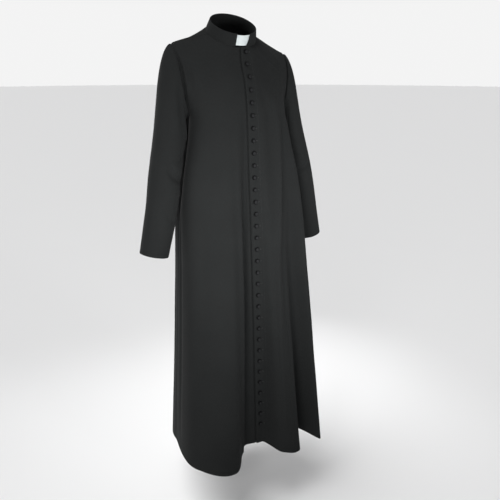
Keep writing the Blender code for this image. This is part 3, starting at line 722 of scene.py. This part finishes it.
ROWS = np.concatenate([
    HEM_STEPS / np.float64(UNDERARM_Z - HEM_Z),
    np.linspace(HEM_MARGIN / (UNDERARM_Z - HEM_Z), 1, SKIRT_ROWS)[:-1],
    1 + NECK_SHARE * np.linspace(0, 1, CHEST_ROWS)[:-1],
    1 + NECK_SHARE + (1 - NECK_SHARE) * np.linspace(0, 1, YOKE_ROWS)[:-1],
    SHOULDER_LEVELS,
])
UNDERARM_ROW = int(np.argmin(np.abs(ROWS - 1)))
NECK_ROW = int(np.argmin(np.abs(ROWS - 1 - NECK_SHARE)))


def across(length, count):
    """Distances from one seam to the next, closer together beside both."""
    middle = np.linspace(SEAM_MARGIN, length - SEAM_MARGIN, count)
    return np.concatenate([SEAM_STEPS, middle, length - SEAM_STEPS[::-1]])


def level_off(normals, sign):
    """Keep a cloth edge at the neck from passing through the plane of the neck ring."""
    through_ring = sign * np.maximum(sign * (normals @ NECK_RISE), 0)
    return unit(normals - through_ring[..., None] * NECK_RISE)


def shoulder_normals(laps):
    """The mean of the front's and the back's normals along one shoulder seam."""
    hand = np.sign(np.sum(laps))
    out = np.minimum(np.abs(laps), 2 - np.abs(laps))
    return unit(surface([2.0], hand * out)[1][0] + surface([2.0], hand * (2 - out))[1][0])


front_reach = np.array([half_length(level, False) for level in ROWS])[:, None]
back_reach = np.array([half_length(level, True) for level in ROWS])[:, None]
half_back = np.array([across(reach, BACK_COLUMNS) for reach in back_reach[:, 0]])
metres = {
    "front_left": np.array([[*(EDGE_X + EDGE_STEPS), *across(reach, FRONT_COLUMNS)]
                            for reach in front_reach[:, 0]]),
    "front_right": np.array([[*-across(reach, FRONT_COLUMNS)[::-1], *UNDERLAP_STEPS]
                             for reach in front_reach[:, 0]]),
    "back": np.concatenate([half_back - back_reach, back_reach - half_back[:, ::-1]], axis=1),
}
laps = {
    "front_left": metres["front_left"] / front_reach,
    "front_right": metres["front_right"] / front_reach,
    "back": np.concatenate([1 + half_back / back_reach, -1 - half_back[:, ::-1] / back_reach],
                           axis=1),
}
LAP_ZERO = {"front_left": len(EDGE_STEPS), "front_right": FRONT_COLUMNS + 2 * len(SEAM_STEPS) - 1}
MIDDLE = half_back.shape[1] - 1
NECK_ENDS = {"front_left": [LAP_ZERO["front_left"]], "front_right": [LAP_ZERO["front_right"]],
             "back": [MIDDLE, MIDDLE + 1]}
body = {name: surface(ROWS, at) for name, at in laps.items()}
normals = {name: grid[1] for name, grid in body.items()}
normals["front_left"][-1] = shoulder_normals(laps["front_left"][-1])
normals["front_right"][-1] = shoulder_normals(laps["front_right"][-1])
normals["back"][-1] = np.concatenate([shoulder_normals(laps["back"][-1, :MIDDLE + 1]),
                                      shoulder_normals(laps["back"][-1, MIDDLE + 1:])])
below, whole = slice(0, UNDERARM_ROW + 1), slice(0, NECK_ROW + 1)
for rows, one, one_column, other, other_column in (
        (below, "front_left", -1, "back", 0), (below, "front_right", 0, "back", -1),
        (whole, "back", MIDDLE, "back", MIDDLE + 1)):
    mean = unit(normals[one][rows, one_column] + normals[other][rows, other_column])
    normals[one][rows, one_column] = normals[other][rows, other_column] = mean
for name, columns in (("front_left", slice(0, LAP_ZERO["front_left"] + NECK_COLUMNS)),
                      ("front_right", slice(LAP_ZERO["front_right"] - NECK_COLUMNS, None)),
                      ("back", slice(MIDDLE + 1 - NAPE_COLUMNS, MIDDLE + 1 + NAPE_COLUMNS))):
    normals[name][NECK_ROW:, columns] = level_off(normals[name][NECK_ROW:, columns], -1)


# The sleeves are cut here too, because the armhole seams share their normals with the body. Their
# columns start from the body's own rows round the armhole, so both sides have the same stations.
Sleeve = namedtuple("Sleeve", "z x y half_x half_y")
SLEEVE = [
    Sleeve(-0.310, 0.2125, 0.000, 0.0490, 0.0600),
    Sleeve(-0.420, 0.2355, -0.012, 0.0500, 0.0580),
    Sleeve(-0.520, 0.2530, -0.020, 0.0490, 0.0540),
    Sleeve(-0.6630, 0.2830, -0.0200, 0.0460, 0.0470),
]
ARM_OUT = Vector((0.95, 0.0, -0.31)).normalized()
CAP_LEAD = (0.024, 0.040)
CAP_FOLLOW = (0.020, 0.120)
UNDERARM_LIFT = 0.010
SLEEVE_LENGTH = 0.353
ARM_ROWS = 80
CAP_ROWS = 56
CAP_HEAD = 0.03
ARMHOLE_DROPS = [0.016, 0.007, 0.0]
DROPS = np.concatenate([
    2 - HEM_STEPS / SLEEVE_LENGTH,
    np.linspace(2 - HEM_MARGIN / SLEEVE_LENGTH, 1, ARM_ROWS)[:-1],
    np.linspace(1, CAP_HEAD, CAP_ROWS), ARMHOLE_DROPS,
])
ARM_STATIONS = np.concatenate([
    (ROWS[UNDERARM_ROW:] - 1) * SHOULDER_SHARE,
    1 - (ROWS[UNDERARM_ROW:-1][::-1] - 1) * (1 - SHOULDER_SHARE),
])
TOP_STATION = len(ROWS) - 1 - UNDERARM_ROW


def sleeve_centre(z):
    return np.array([through(SLEEVE, "z", "x", z), through(SLEEVE, "z", "y", z), z])


def sleeve_ring(z, shares):
    """A ring square to the sleeve's centre line; share 0 is the inner side, 0.25 the front."""
    centre = sleeve_centre(z)
    fall = sleeve_centre(z - 0.001) - sleeve_centre(z + 0.001)
    fall /= np.linalg.norm(fall)
    across = np.cross([0, 1, 0], -fall)
    across /= np.linalg.norm(across)
    fore = np.cross(-fall, across)
    turn = 2 * pi * np.asarray(shares)[:, None]
    half_x = through(SLEEVE, "z", "half_x", z)
    half_y = through(SLEEVE, "z", "half_y", z)
    return centre - half_x * np.cos(turn) * across - half_y * np.sin(turn) * fore, fall


def sleeve_row(drop, shares, hand):
    """Points of a sleeve; drop 0 is the armhole, 1 the cap's end, 2 the cuff; hand 1 is left."""
    shares = np.asarray(shares, float)
    if drop > 1:
        z = SLEEVE[0].z + (SLEEVE[-1].z - SLEEVE[0].z) * (drop - 1)
        points = sleeve_ring(z, shares)[0]
    else:
        ring, fall = sleeve_ring(SLEEVE[0].z, shares)
        start = armhole_point(shares)
        height = (0.5 - 0.5 * np.cos(2 * pi * shares))[:, None]
        lead = start + np.array(ARM_OUT) * (CAP_LEAD[0] + (CAP_LEAD[1] - CAP_LEAD[0]) * height)
        lead[:, 2] += UNDERARM_LIFT * (1 - height[:, 0])
        follow = ring - fall * (CAP_FOLLOW[0] + (CAP_FOLLOW[1] - CAP_FOLLOW[0]) * height)
        left = 1 - drop
        points = (left ** 3 * start + 3 * drop * left ** 2 * lead
                  + 3 * drop * drop * left * follow + drop ** 3 * ring)
    return settle(points * np.array([hand, 1, 1]))


def sleeve_surface(drops, shares, hand):
    """Points and outward normals of a sleeve over a grid; shares run on anticlockwise."""
    points = np.array([sleeve_row(drop, shares, hand) for drop in drops])
    up = np.array([sleeve_row(max(drop - NUDGE, 0), shares, hand)
                   - sleeve_row(min(drop + NUDGE, 2), shares, hand) for drop in drops])
    along = np.array([sleeve_row(drop, shares + NUDGE, hand)
                      - sleeve_row(drop, shares - NUDGE, hand) for drop in drops]) * hand
    return points, unit(np.cross(along, up))


sleeves = {hand: sleeve_surface(DROPS, ARM_STATIONS[::hand], hand) for hand in (1, -1)}
for hand, front, front_edge, back_edge in ((1, "front_left", -1, 0), (-1, "front_right", 0, -1)):
    front_side = normals[front][UNDERARM_ROW:, front_edge]
    back_side = normals["back"][UNDERARM_ROW:, back_edge]
    sleeve_side = sleeves[hand][1][-1][::hand]
    round_body = np.concatenate([front_side, back_side[:-1][::-1]])
    round_body[[0, -1]] = unit(front_side[0] + back_side[0])
    mean = unit(unit(round_body) + unit(sleeve_side))
    mean[[0, -1]] = unit(mean[0] + mean[-1])
    front_side[:] = mean[:TOP_STATION + 1]
    back_side[:] = mean[TOP_STATION:][::-1]
    sleeve_side[:] = mean


def dressed(points, out, seams, creases, place):
    """Points moved along their normals by the waves and creases, and in beside the seams."""
    from_armhole = armhole_gap(points)
    free = smooth_step(from_armhole / ARMHOLE_STILL) * smooth_step(neck_gap(points) / NECK_STILL)
    moved = (waved(points) + creased(points, creases, place)) * free
    for distance in seams:
        moved = moved - sunk(distance)
    heights, shares = zip(*ARMHOLE_SINK_SHARES)
    depth = ARMHOLE_SINK * np.interp(points[..., 2], heights, shares)
    moved = moved - sunk(from_armhole, depth, ARMHOLE_SINK_WIDTH)
    return points + out * moved[..., None]


def body_spot(level, lap):
    return body_row(level, [lap])[0]


EASE_ROWS = 14
EASE_ROUNDS = 50
EASE_START = 0.002
EASE_WIDTH = 0.014


def eased_at_underarm(points, from_side):
    """The turn across the underarm row softened, except close to the side seam."""
    first, last = UNDERARM_ROW - EASE_ROWS, UNDERARM_ROW + EASE_ROWS + 1
    near_row = np.cos(np.linspace(-pi / 2, pi / 2, last - first))[:, None] ** 2
    share = near_row * smooth_step((from_side[first:last] - EASE_START) / EASE_WIDTH)
    for _ in range(EASE_ROUNDS):
        middle = points[first:last]
        between = (points[first - 1:last - 1] + points[first + 1:last + 1]) / 2
        points[first:last] = middle + (between - middle) * share[..., None]
    return points


def from_top(name):
    """Distances down the columns from the shoulder seam or the armhole."""
    return lengths(body[name][0][::-1], 0)[::-1]


def from_neck(name):
    """Distances along the rows from the collar seam; below it, far away."""
    ends = [metres[name][:, [end]] for end in NECK_ENDS[name]]
    away = np.min([np.abs(metres[name] - end) for end in ends], axis=0)
    away[:NECK_ROW] = FAR
    return away


def body_sheet(name, side_gaps, free_edges, exists, joined=None):
    """One of the body's panels as a closed shell, with a second layer along the hem."""
    points, out = body[name]
    seams = [*side_gaps, from_top(name), from_neck(name)]
    points = dressed(points, out, seams, BODY_CREASES, body_spot)
    points = eased_at_underarm(points, np.min(side_gaps, axis=0))
    from_hem = lengths(points, 0)
    thickness = thickened(from_hem, HEM_DEPTH)
    edge = rounded(from_hem, thickness)
    for distance in free_edges:
        edge = np.minimum(edge, rounded(distance, thickness))
    weave = np.stack([metres[name], from_hem], axis=-1)
    piece = shell(f"{name}_cloth", points, out, thickness, edge, weave, suiting, exists, joined)
    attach(piece, "root")
    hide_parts(name)
    return piece


GROOVE_DEPTH = 0.0035
GROOVE_WIDTH = 0.0021
GROOVE_OUTSIDE_EDGE = 0.0012
out_of_line = metres["front_right"]
below_neck = (1 - smooth_step((ROWS - 1 - NECK_SHARE) / SINK_FADE))[:, None]
rest_down = smooth_step((out_of_line - SINK_START_X) / (SINK_END_X - SINK_START_X)) * SINK_DEPTH
groove = GROOVE_DEPTH * np.exp(-((out_of_line - EDGE_X + GROOVE_OUTSIDE_EDGE) / GROOVE_WIDTH) ** 2)
body["front_right"][0][:] -= normals["front_right"] * ((rest_down + groove) * below_neck)[..., None]
front_right = body_sheet("front_right", [front_reach + metres["front_right"]],
                         [UNDERLAP_X - metres["front_right"]],
                         lambda i, j: i < NECK_ROW or j < LAP_ZERO["front_right"])


# ======================== left front
# The wearer's left front, of the same suiting, laps over the right one. Its edge is turned under
# and pressed to a soft roll, which stands up a little beside the edge.

ROLL_HEIGHT = 0.0012
ROLL_INSIDE_EDGE = 0.0045
ROLL_WIDTH = 0.0038
from_roll = metres["front_left"] - EDGE_X - ROLL_INSIDE_EDGE
roll = ROLL_HEIGHT * np.exp(-(from_roll / ROLL_WIDTH) ** 2) * below_neck
body["front_left"][0][:] += normals["front_left"] * roll[..., None]
front_left = body_sheet("front_left", [front_reach - metres["front_left"]],
                        [metres["front_left"] - EDGE_X],
                        lambda i, j: i < NECK_ROW or j >= LAP_ZERO["front_left"])


# ======================== back
# The back is one panel of the suiting, sewn to both fronts down the sides and over the shoulders.
# It hangs from the shoulder seams and swings in shallow folds at the hem.

back = body_sheet("back", [metres["back"] + back_reach, back_reach - metres["back"]], [],
                  lambda i, j: j != MIDDLE, (whole, MIDDLE, MIDDLE + 1))


# ======================== sleeves
# Two strips a sleeve, upper and under, with their seams behind and before the arm, set in to the
# armhole with a little ease, and turned in at a plain cuff.

CUFF_DEPTH = 0.040
Cut = namedtuple("Cut", "width length area")
FRONT_SEAM = 24
HIND_SEAM = 2 * TOP_STATION - 30

# The creases of the left sleeve, 1, and of the right, -1. Their stops are (drop, share): drop 0 is
# the armhole and 2 the cuff, share 0 is inside the arm and 0.25 in front of it.
SLEEVE_CREASES = {
    1: [Crease([(1.28, 0.38), (1.335, 0.27), (1.33, 0.14)], 0.008, -0.0060),
        Crease([(1.42, 0.36), (1.42, 0.24), (1.39, 0.14)], 0.009, 0.0030),
        Crease([(1.10, 0.10), (1.20, 0.18), (1.24, 0.30)], 0.010, -0.0040),
        Crease([(0.30, 0.22), (0.55, 0.24), (0.85, 0.26)], 0.009, -0.0035),
        Crease([(0.16, 0.80), (0.46, 0.76), (0.80, 0.72)], 0.012, -0.0040),
        Crease([(1.12, 0.86), (1.24, 0.76), (1.28, 0.62)], 0.010, -0.0045),
        Crease([(1.40, 0.90), (1.45, 0.80), (1.40, 0.68)], 0.010, -0.0040),
        Crease([(0.03, 0.40), (0.13, 0.405)], 0.007, -0.0016),
        Crease([(0.03, 0.58), (0.12, 0.575)], 0.007, -0.0016)],
    -1: [Crease([(1.20, 0.36), (1.31, 0.22), (1.345, 0.06)], 0.013, -0.0110),
         Crease([(1.45, 0.36), (1.46, 0.22), (1.43, 0.08)], 0.012, 0.0040),
         Crease([(1.06, 0.06), (1.17, 0.16), (1.20, 0.28)], 0.012, -0.0050),
         Crease([(0.24, 0.14), (0.52, 0.115), (0.80, 0.110), (1.00, 0.11)], 0.008, 0.0045),
         Crease([(0.18, 0.25), (0.50, 0.20), (0.86, 0.19)], 0.011, -0.0035),
         Crease([(0.18, 0.82), (0.48, 0.78), (0.84, 0.74)], 0.013, -0.0045),
         Crease([(1.14, 0.84), (1.26, 0.74), (1.29, 0.60)], 0.011, -0.0045),
         Crease([(1.38, 0.88), (1.44, 0.78), (1.38, 0.66)], 0.010, -0.0040),
         Crease([(1.58, 0.30), (1.66, 0.20), (1.70, 0.08)], 0.012, -0.0030),
         Crease([(0.03, 0.33), (0.15, 0.325)], 0.006, -0.0022),
         Crease([(0.03, 0.38), (0.13, 0.385)], 0.006, -0.0020),
         Crease([(0.03, 0.44), (0.12, 0.450)], 0.007, -0.0018),
         Crease([(0.03, 0.60), (0.12, 0.595)], 0.007, -0.0016)],
}


def sleeve_spot(hand):
    """Where a crease's stop lies on one sleeve."""
    return lambda drop, share: sleeve_row(drop, [share], hand)[0]


for hand, side in ((1, "left"), (-1, "right")):
    points, out = sleeves[hand]
    strips = {"upper": list(range(FRONT_SEAM, HIND_SEAM + 1)),
              "under": list(range(HIND_SEAM, 2 * TOP_STATION)) + list(range(0, FRONT_SEAM + 1))}
    for strip, order in strips.items():
        if hand < 0:
            order = [2 * TOP_STATION - k for k in order][::-1]
        cut, facing = points[:, order], out[:, order]
        round_arm = lengths(cut, 1)
        round_back = lengths(cut[:, ::-1], 1)[:, ::-1]
        from_cuff = lengths(cut, 0)
        from_armhole = lengths(cut[::-1], 0)[::-1]
        shape = dressed(cut, facing, [round_arm, round_back, from_armhole], SLEEVE_CREASES[hand],
                        sleeve_spot(hand))
        thickness = thickened(from_cuff, CUFF_DEPTH)
        weave = np.stack([round_arm, from_cuff], axis=-1)
        name = f"sleeve_{side}_{strip}"
        piece = shell(f"{name}_cloth", shape, facing, thickness, rounded(from_cuff, thickness),
                      weave, suiting)
        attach(piece, "root")
        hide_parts(name)


# ======================== collar
# A stand collar, a folded band of the suiting stiffened inside, sewn to the neck. Its ends stand
# apart in front: the right one is cut square, the left one slants away, and the tab shows between.

COLLAR_CLOTH = 0.0026
COLLAR_HEIGHT = 0.0355
COLLAR_TOP_SHARE = 0.905
COLLAR_FOOT = -0.022
COLLAR_RIGHT_END = -0.022
COLLAR_LEFT_END_LOW = 0.009
COLLAR_LEFT_END_HIGH = 0.028
COLLAR_END_BOW = 0.6
COLLAR_COLUMNS = 190
STRIP_START = [0, 0.0006, 0.0018, 0.0040]
STRIP_END = [0.9960, 0.9982, 0.9994, 1]


def collar_point(angle, height):
    """A point of the collar's outer face; height 0 is the neck ring and 1 the free edge."""
    centre = np.array([0, NECK_CENTRE_Y, 0])
    ring = centre + (neck_point(angle) - centre) * (1 - (1 - COLLAR_TOP_SHARE) * height)
    return settle((ring + NECK_RISE * COLLAR_HEIGHT * height)[None])[0]


def neck_strip(name, ends, heights, count, thickness, inset, finish):
    """A strip round the neck from ends(height)[0] to ends(height)[1], turned at its free edges."""
    points = np.zeros((len(heights), count, 3))
    out = np.zeros_like(points)
    even = np.linspace(0, 1, count + 2 - len(STRIP_START) - len(STRIP_END))
    spread = np.concatenate([STRIP_START, even[1:-1], STRIP_END])
    for i, height in enumerate(heights):
        first, last = ends(height)
        for j, share in enumerate(spread):
            angle = first + (last - first) * share
            along = collar_point(angle + NUDGE, height) - collar_point(angle - NUDGE, height)
            up = collar_point(angle, height + NUDGE) - collar_point(angle, height - NUDGE)
            out[i, j] = unit(np.cross(along, up))
            points[i, j] = collar_point(angle, height)
    out[0] = level_off(out[0], 1)
    points -= out * inset
    along, up = lengths(points, 1), lengths(points, 0)
    back_along = lengths(points[:, ::-1], 1)[:, ::-1]
    down = lengths(points[::-1], 0)[::-1]
    depth = np.full(points.shape[:2], thickness)
    ends_edge = np.minimum(rounded(along, depth), rounded(back_along, depth))
    edge = np.minimum(ends_edge, rounded(down, depth))
    return shell(name, points, out, depth, edge, np.stack([along, up], axis=-1), finish)


def collar_ends(height):
    """The angles at which the collar ends, the left one bowing away from the centre."""
    slant = COLLAR_LEFT_END_HIGH - COLLAR_LEFT_END_LOW
    left = COLLAR_LEFT_END_LOW + slant * max(height, 0) ** COLLAR_END_BOW
    return left / NECK_HALF_WIDTH, 2 * pi + COLLAR_RIGHT_END / NECK_HALF_WIDTH


collar_heights = np.concatenate([[COLLAR_FOOT], np.linspace(0, 0.9, 12),
                                 [0.945, 0.97, 0.985, 0.994, 1.0]])
collar = neck_strip("stand_collar", collar_ends, collar_heights, COLLAR_COLUMNS, COLLAR_CLOTH, 0,
                    suiting)
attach(collar, "root")
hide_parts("collar")


# ======================== collar tab
# A stiff white band of matt plastic, slipped inside the collar and held by its pressure. It shows
# only between the collar's ends.

TAB_HALF_LENGTH = 0.040
TAB_FOOT = 0.06
TAB_HEAD = 0.90
TAB_THICKNESS = 0.001
TAB_GAP = 0.0007
TAB_COLUMNS = 60
TAB_SHADED = (0.49, 0.535, 0.54, 1)
TAB_CLEAN = (0.55, 0.595, 0.59, 1)


def clouded(name, scale, detail, dark, light, rough, change):
    """A plain finish whose colour and gloss change a little from place to place."""
    finish, shader, start = new_finish(name)
    place = start.node("ShaderNodeTexCoord", None, None, 3)
    cloud = start.node("ShaderNodeTexNoise", None,
                       {"Vector": place, "Scale": scale, "Detail": detail})
    tint = start.node("ShaderNodeValToRGB", {"stops": [(0.3, dark), (0.7, light)]}, {0: cloud})
    tint.feed(shader, "Base Color")
    (cloud * change + rough).feed(shader, "Roughness")
    return finish, shader, place


white_band, plastic, place = clouded("white_band", scale=60.0, detail=3.0, dark=TAB_SHADED,
                                     light=TAB_CLEAN, rough=0.42, change=0.12)
grain = place.node("ShaderNodeTexNoise", None, {"Vector": place, "Scale": 1400.0, "Detail": 1.0})
bump = grain.node("ShaderNodeBump", None, {"Strength": 0.1, "Distance": 0.0001, "Height": grain})
bump.feed(plastic, "Normal")
reach = TAB_HALF_LENGTH / NECK_HALF_WIDTH
tab_heights = np.concatenate([[TAB_FOOT], np.linspace(0.09, 0.87, 10), [0.885, 0.895, TAB_HEAD]])
collar_tab = neck_strip("white_tab", lambda height: (-reach, reach), tab_heights, TAB_COLUMNS,
                        TAB_THICKNESS, COLLAR_CLOTH + TAB_GAP, white_band)
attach(collar_tab, "root")
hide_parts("collar_tab")


# ======================== front edge stitching
# One line of stitches holds the facing behind the left front's edge; the thread is black, and it
# sinks into the cloth. Each stitch is a short spindle of thread lying along the line.

STITCH_X = 0.0275
STITCH_TOP_Z = -0.060
STITCH_ABOVE_HEM = 0.012
STITCH_PROBES = 260
STITCH_PITCH = 0.0034
STITCH_SINK = 0.00008
STITCH_SMALLEST = 0.86
STITCH_LARGEST = 1.08
STITCH_SIZES = {"Length": 0.0027, "Width": 0.0005, "Seed": 5}
THREAD_DARK = (0.010, 0.010, 0.011, 1)
THREAD_LIGHT = (0.020, 0.020, 0.021, 1)
FRONT_LAPS = np.linspace(0, 0.16, 33)
FRONT_PROBE = 0.02


def down_the_front(x, heights):
    """Points of the left front's surface at a distance from the centre front, and its normals."""
    cloth = BVHTree.FromObject(front_left, bpy.context.evaluated_depsgraph_get())
    spots, facing = [], []
    for z in heights:
        if z < UNDERARM_Z:
            level = (z - HEM_Z) / (UNDERARM_Z - HEM_Z)
        else:
            level = 1 + NECK_SHARE * (z - UNDERARM_Z) / (CHEST[-1].z - UNDERARM_Z)
        lap = float(np.interp(x, body_row(level, FRONT_LAPS)[:, 0], FRONT_LAPS))
        points, out = surface([level], np.array([lap]))
        spot, out = Vector(points[0, 0]), Vector(out[0, 0])
        spots.append(cloth.ray_cast(spot + out * FRONT_PROBE, -out)[0])
        facing.append(out)
    return np.array(spots), np.array(facing)


def spindle(start, given, carried):
    """A spindle of thread that lies along its line, each a little larger or smaller."""
    ball = start.node("GeometryNodeMeshUVSphere", None, {"Segments": 6, "Rings": 4, "Radius": 0.5})
    size = start.node("ShaderNodeCombineXYZ", None,
                      {0: given["Length"], 1: given["Width"], 2: given["Width"]})
    drawn_out = start.node("GeometryNodeTransform", None, {"Geometry": ball, "Scale": size})
    turn = start.node("FunctionNodeAxesToRotation", {"primary_axis": "Z", "secondary_axis": "X"},
                      {0: carried["out"], 1: carried["along"]})
    uneven = start.node("FunctionNodeRandomValue", {"data_type": "FLOAT"},
                        {2: STITCH_SMALLEST, 3: STITCH_LARGEST, "Seed": given["Seed"]}, 1)
    return drawn_out, turn, uneven


def set_on_points(name, spots, vectors, inputs, one, finish):
    """What one() makes, set on every point with the vectors it carries, as one plain mesh."""
    cloud = bpy.data.meshes.new(name)
    cloud.from_pydata([tuple(spot) for spot in spots], [], [])
    for label, values in vectors.items():
        held = cloud.attributes.new(label, "FLOAT_VECTOR", "POINT")
        held.data.foreach_set("vector", np.ravel(values))
    carrier = bpy.data.objects.new(name, cloud)
    studio.collection.objects.link(carrier)
    tree = bpy.data.node_groups.new(name, "GeometryNodeTree")
    tree.interface.new_socket("Points", in_out="INPUT", socket_type="NodeSocketGeometry")
    known = {}
    for label in inputs:
        kind = "NodeSocketInt" if label == "Seed" else "NodeSocketFloat"
        known[label] = tree.interface.new_socket(label, in_out="INPUT", socket_type=kind).identifier
    tree.interface.new_socket("Set", in_out="OUTPUT", socket_type="NodeSocketGeometry")
    start = Strand(tree)
    offered = tree.nodes.new("NodeGroupInput").outputs
    given = {socket.name: Strand(tree, socket) for socket in offered if socket.name}
    carried = {label: start.node("GeometryNodeInputNamedAttribute", {"data_type": "FLOAT_VECTOR"},
                                 {"Name": label}) for label in vectors}
    thing, turn, scale = one(start, given, carried)
    laid = start.node("GeometryNodeInstanceOnPoints", None, {
        "Points": given["Points"], "Instance": thing, "Rotation": turn, "Scale": scale})
    real = start.node("GeometryNodeRealizeInstances", None, {0: laid})
    done = start.node("GeometryNodeSetMaterial", None, {"Geometry": real, "Material": finish})
    tree.links.new(done.socket, tree.nodes.new("NodeGroupOutput").inputs[0])
    sewing = carrier.modifiers.new("sewing", "NODES")
    sewing.node_group = tree
    for label, value in inputs.items():
        sewing[known[label]] = value
    evaluated = carrier.evaluated_get(bpy.context.evaluated_depsgraph_get())
    sewn = bpy.data.meshes.new_from_object(evaluated)
    carrier.modifiers.remove(sewing)
    carrier.data = sewn
    sewn.shade_smooth()
    return carrier


thread = clouded("black_thread", scale=2400.0, detail=1.0, dark=THREAD_DARK, light=THREAD_LIGHT,
                 rough=0.5, change=0.2)[0]
stitch_heights = np.linspace(STITCH_TOP_Z, HEM_Z + STITCH_ABOVE_HEM, STITCH_PROBES)
line, line_out = down_the_front(STITCH_X, stitch_heights)
run_of = lengths(line[None], 1)[0]
marks = np.arange(STITCH_PITCH / 2, run_of[-1], STITCH_PITCH)
seam_spots = np.stack([np.interp(marks, run_of, line[:, k]) for k in range(3)], axis=1)
seam_out = unit(np.stack([np.interp(marks, run_of, line_out[:, k]) for k in range(3)], axis=1))
seam_along = unit(np.gradient(seam_spots, axis=0))
front_stitches = set_on_points("front_stitches", seam_spots - seam_out * STITCH_SINK,
                               {"out": seam_out, "along": seam_along}, STITCH_SIZES, spindle, thread)
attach(front_stitches, "root")


# ======================== buttonholes
# Worked buttonholes across the left front's edge, one to a button: a bar of close stitches on both
# sides of a short slit, most of it under the button.

BUTTON_X = 0.0095
BUTTON_COUNT = 33
BUTTON_TOP_Z = -0.0490
BUTTON_PITCH = 0.0376
HOLE_LENGTH = 0.0160
HOLE_START = -0.0022
HOLE_WIDTH = 0.0011
HOLE_PROBE = 0.01
PURL_PITCH = 0.00075
PURL_SIZES = {"Length": 0.0012, "Width": 0.00062, "Seed": 5}

button_heights = BUTTON_TOP_Z - BUTTON_PITCH * np.arange(BUTTON_COUNT)
button_spots, button_out = down_the_front(BUTTON_X, button_heights)
purl_spots, purl_out, purl_along = [], [], []
cloth = BVHTree.FromObject(front_left, bpy.context.evaluated_depsgraph_get())
for spot, out in zip(button_spots, button_out):
    sideways = unit(np.cross([0, 0, 1], out))
    rise = np.cross(out, sideways)
    for x in np.arange(0, HOLE_LENGTH, PURL_PITCH):
        for lean in (1, -1):
            purl = spot + sideways * (HOLE_START + x) + rise * lean * HOLE_WIDTH / 2
            purl_spots.append(cloth.ray_cast(Vector(purl + out * HOLE_PROBE), Vector(-out))[0])
            purl_out.append(out)
            purl_along.append(rise)
buttonholes = set_on_points("buttonholes", purl_spots, {"out": purl_out, "along": purl_along},
                            PURL_SIZES, spindle, thread)
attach(buttonholes, "root")


# ======================== buttons
# Thirty-three small domed buttons of one size, each covered in black cloth and sewn through to the
# underlap, down the whole front. No two sit quite alike.

BUTTON_RADIUS = 0.0073
BUTTON_HEIGHT = 0.0050
BUTTON_LIFT = 0.0012
BUTTON_LEAN = Vector((0.07, 0.07, 3.1))
BUTTON_SEED = 3
BUTTON_DARK = (0.0120, 0.0124, 0.0130, 1)
BUTTON_LIGHT = (0.0200, 0.0206, 0.0214, 1)
# A painted shadow ring: the dome's colour darkens from 4 mm out and is near black past 6 mm, for the
# shade under its edge and in the gap to the cloth
BUTTON_SHADOW_RING = (0.0040, 0.0060, (0.0030, 0.0030, 0.0033, 1))
button_cloth = woven("button_cloth", dark=BUTTON_DARK, light=BUTTON_LIGHT, rib=0.0009, bump=0.2,
                     relief=0.00012, sheen=0.04, nap=0.4, rough=0.80, rim=BUTTON_SHADOW_RING)

DOME_SIDES = 28
Ring = namedtuple("Ring", "radius lift")
DOME = [Ring(0.0, 0.06), Ring(0.55, 0.06), Ring(0.80, 0.0), Ring(0.93, 0.10), Ring(1.0, 0.30),
        Ring(0.985, 0.46), Ring(0.93, 0.63), Ring(0.82, 0.78), Ring(0.66, 0.89), Ring(0.46, 0.96),
        Ring(0.23, 0.99), Ring(0.0, 1.0)]
dome = bmesh.new()
weave_layer = dome.loops.layers.uv.new("weave")
rings = []
for ring in DOME:
    turns = [2 * pi * k / DOME_SIDES for k in range(DOME_SIDES if ring.radius else 1)]
    rings.append([dome.verts.new((BUTTON_RADIUS * ring.radius * cos(turn),
                                  BUTTON_RADIUS * ring.radius * sin(turn),
                                  BUTTON_HEIGHT * ring.lift)) for turn in turns])
for low, high in zip(rings, rings[1:]):
    for k in range(DOME_SIDES):
        after = (k + 1) % DOME_SIDES
        if len(low) == 1:
            dome.faces.new((low[0], high[after], high[k]))
        elif len(high) == 1:
            dome.faces.new((low[k], low[after], high[0]))
        else:
            dome.faces.new((low[k], low[after], high[after], high[k]))
for face in dome.faces:
    face.smooth = True
    for loop in face.loops:
        loop[weave_layer].uv = (loop.vert.co.x, loop.vert.co.y)
dome_mesh = bpy.data.meshes.new("button_dome")
dome.to_mesh(dome_mesh)
dome.free()
dome_mesh.materials.append(button_cloth)
pattern = bpy.data.objects.new("button_dome", dome_mesh)
studio.collection.objects.link(pattern)


def sewn_dome(start, given, carried):
    """The dome facing out of the cloth, each turned and leaning a little its own way."""
    dome_shape = start.node("GeometryNodeObjectInfo", None, {"Object": pattern}, 4)
    turn = start.node("FunctionNodeAlignRotationToVector", {"axis": "Z"}, {"Vector": carried["out"]})
    lean = start.node("FunctionNodeRandomValue", {"data_type": "FLOAT_VECTOR"},
                      {0: -BUTTON_LEAN, 1: BUTTON_LEAN, "Seed": given["Seed"]})
    turn = start.node("FunctionNodeRotateRotation", {"rotation_space": "LOCAL"}, {0: turn, 1: lean})
    return dome_shape, turn, given["Size"]


buttons = set_on_points("buttons", button_spots + button_out * BUTTON_LIFT, {"out": button_out},
                        {"Size": 1.0, "Seed": BUTTON_SEED}, sewn_dome, button_cloth)
bpy.data.objects.remove(pattern)
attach(buttons, "root")
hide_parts(*[f"button_{k:02d}" for k in range(1, BUTTON_COUNT + 1)])
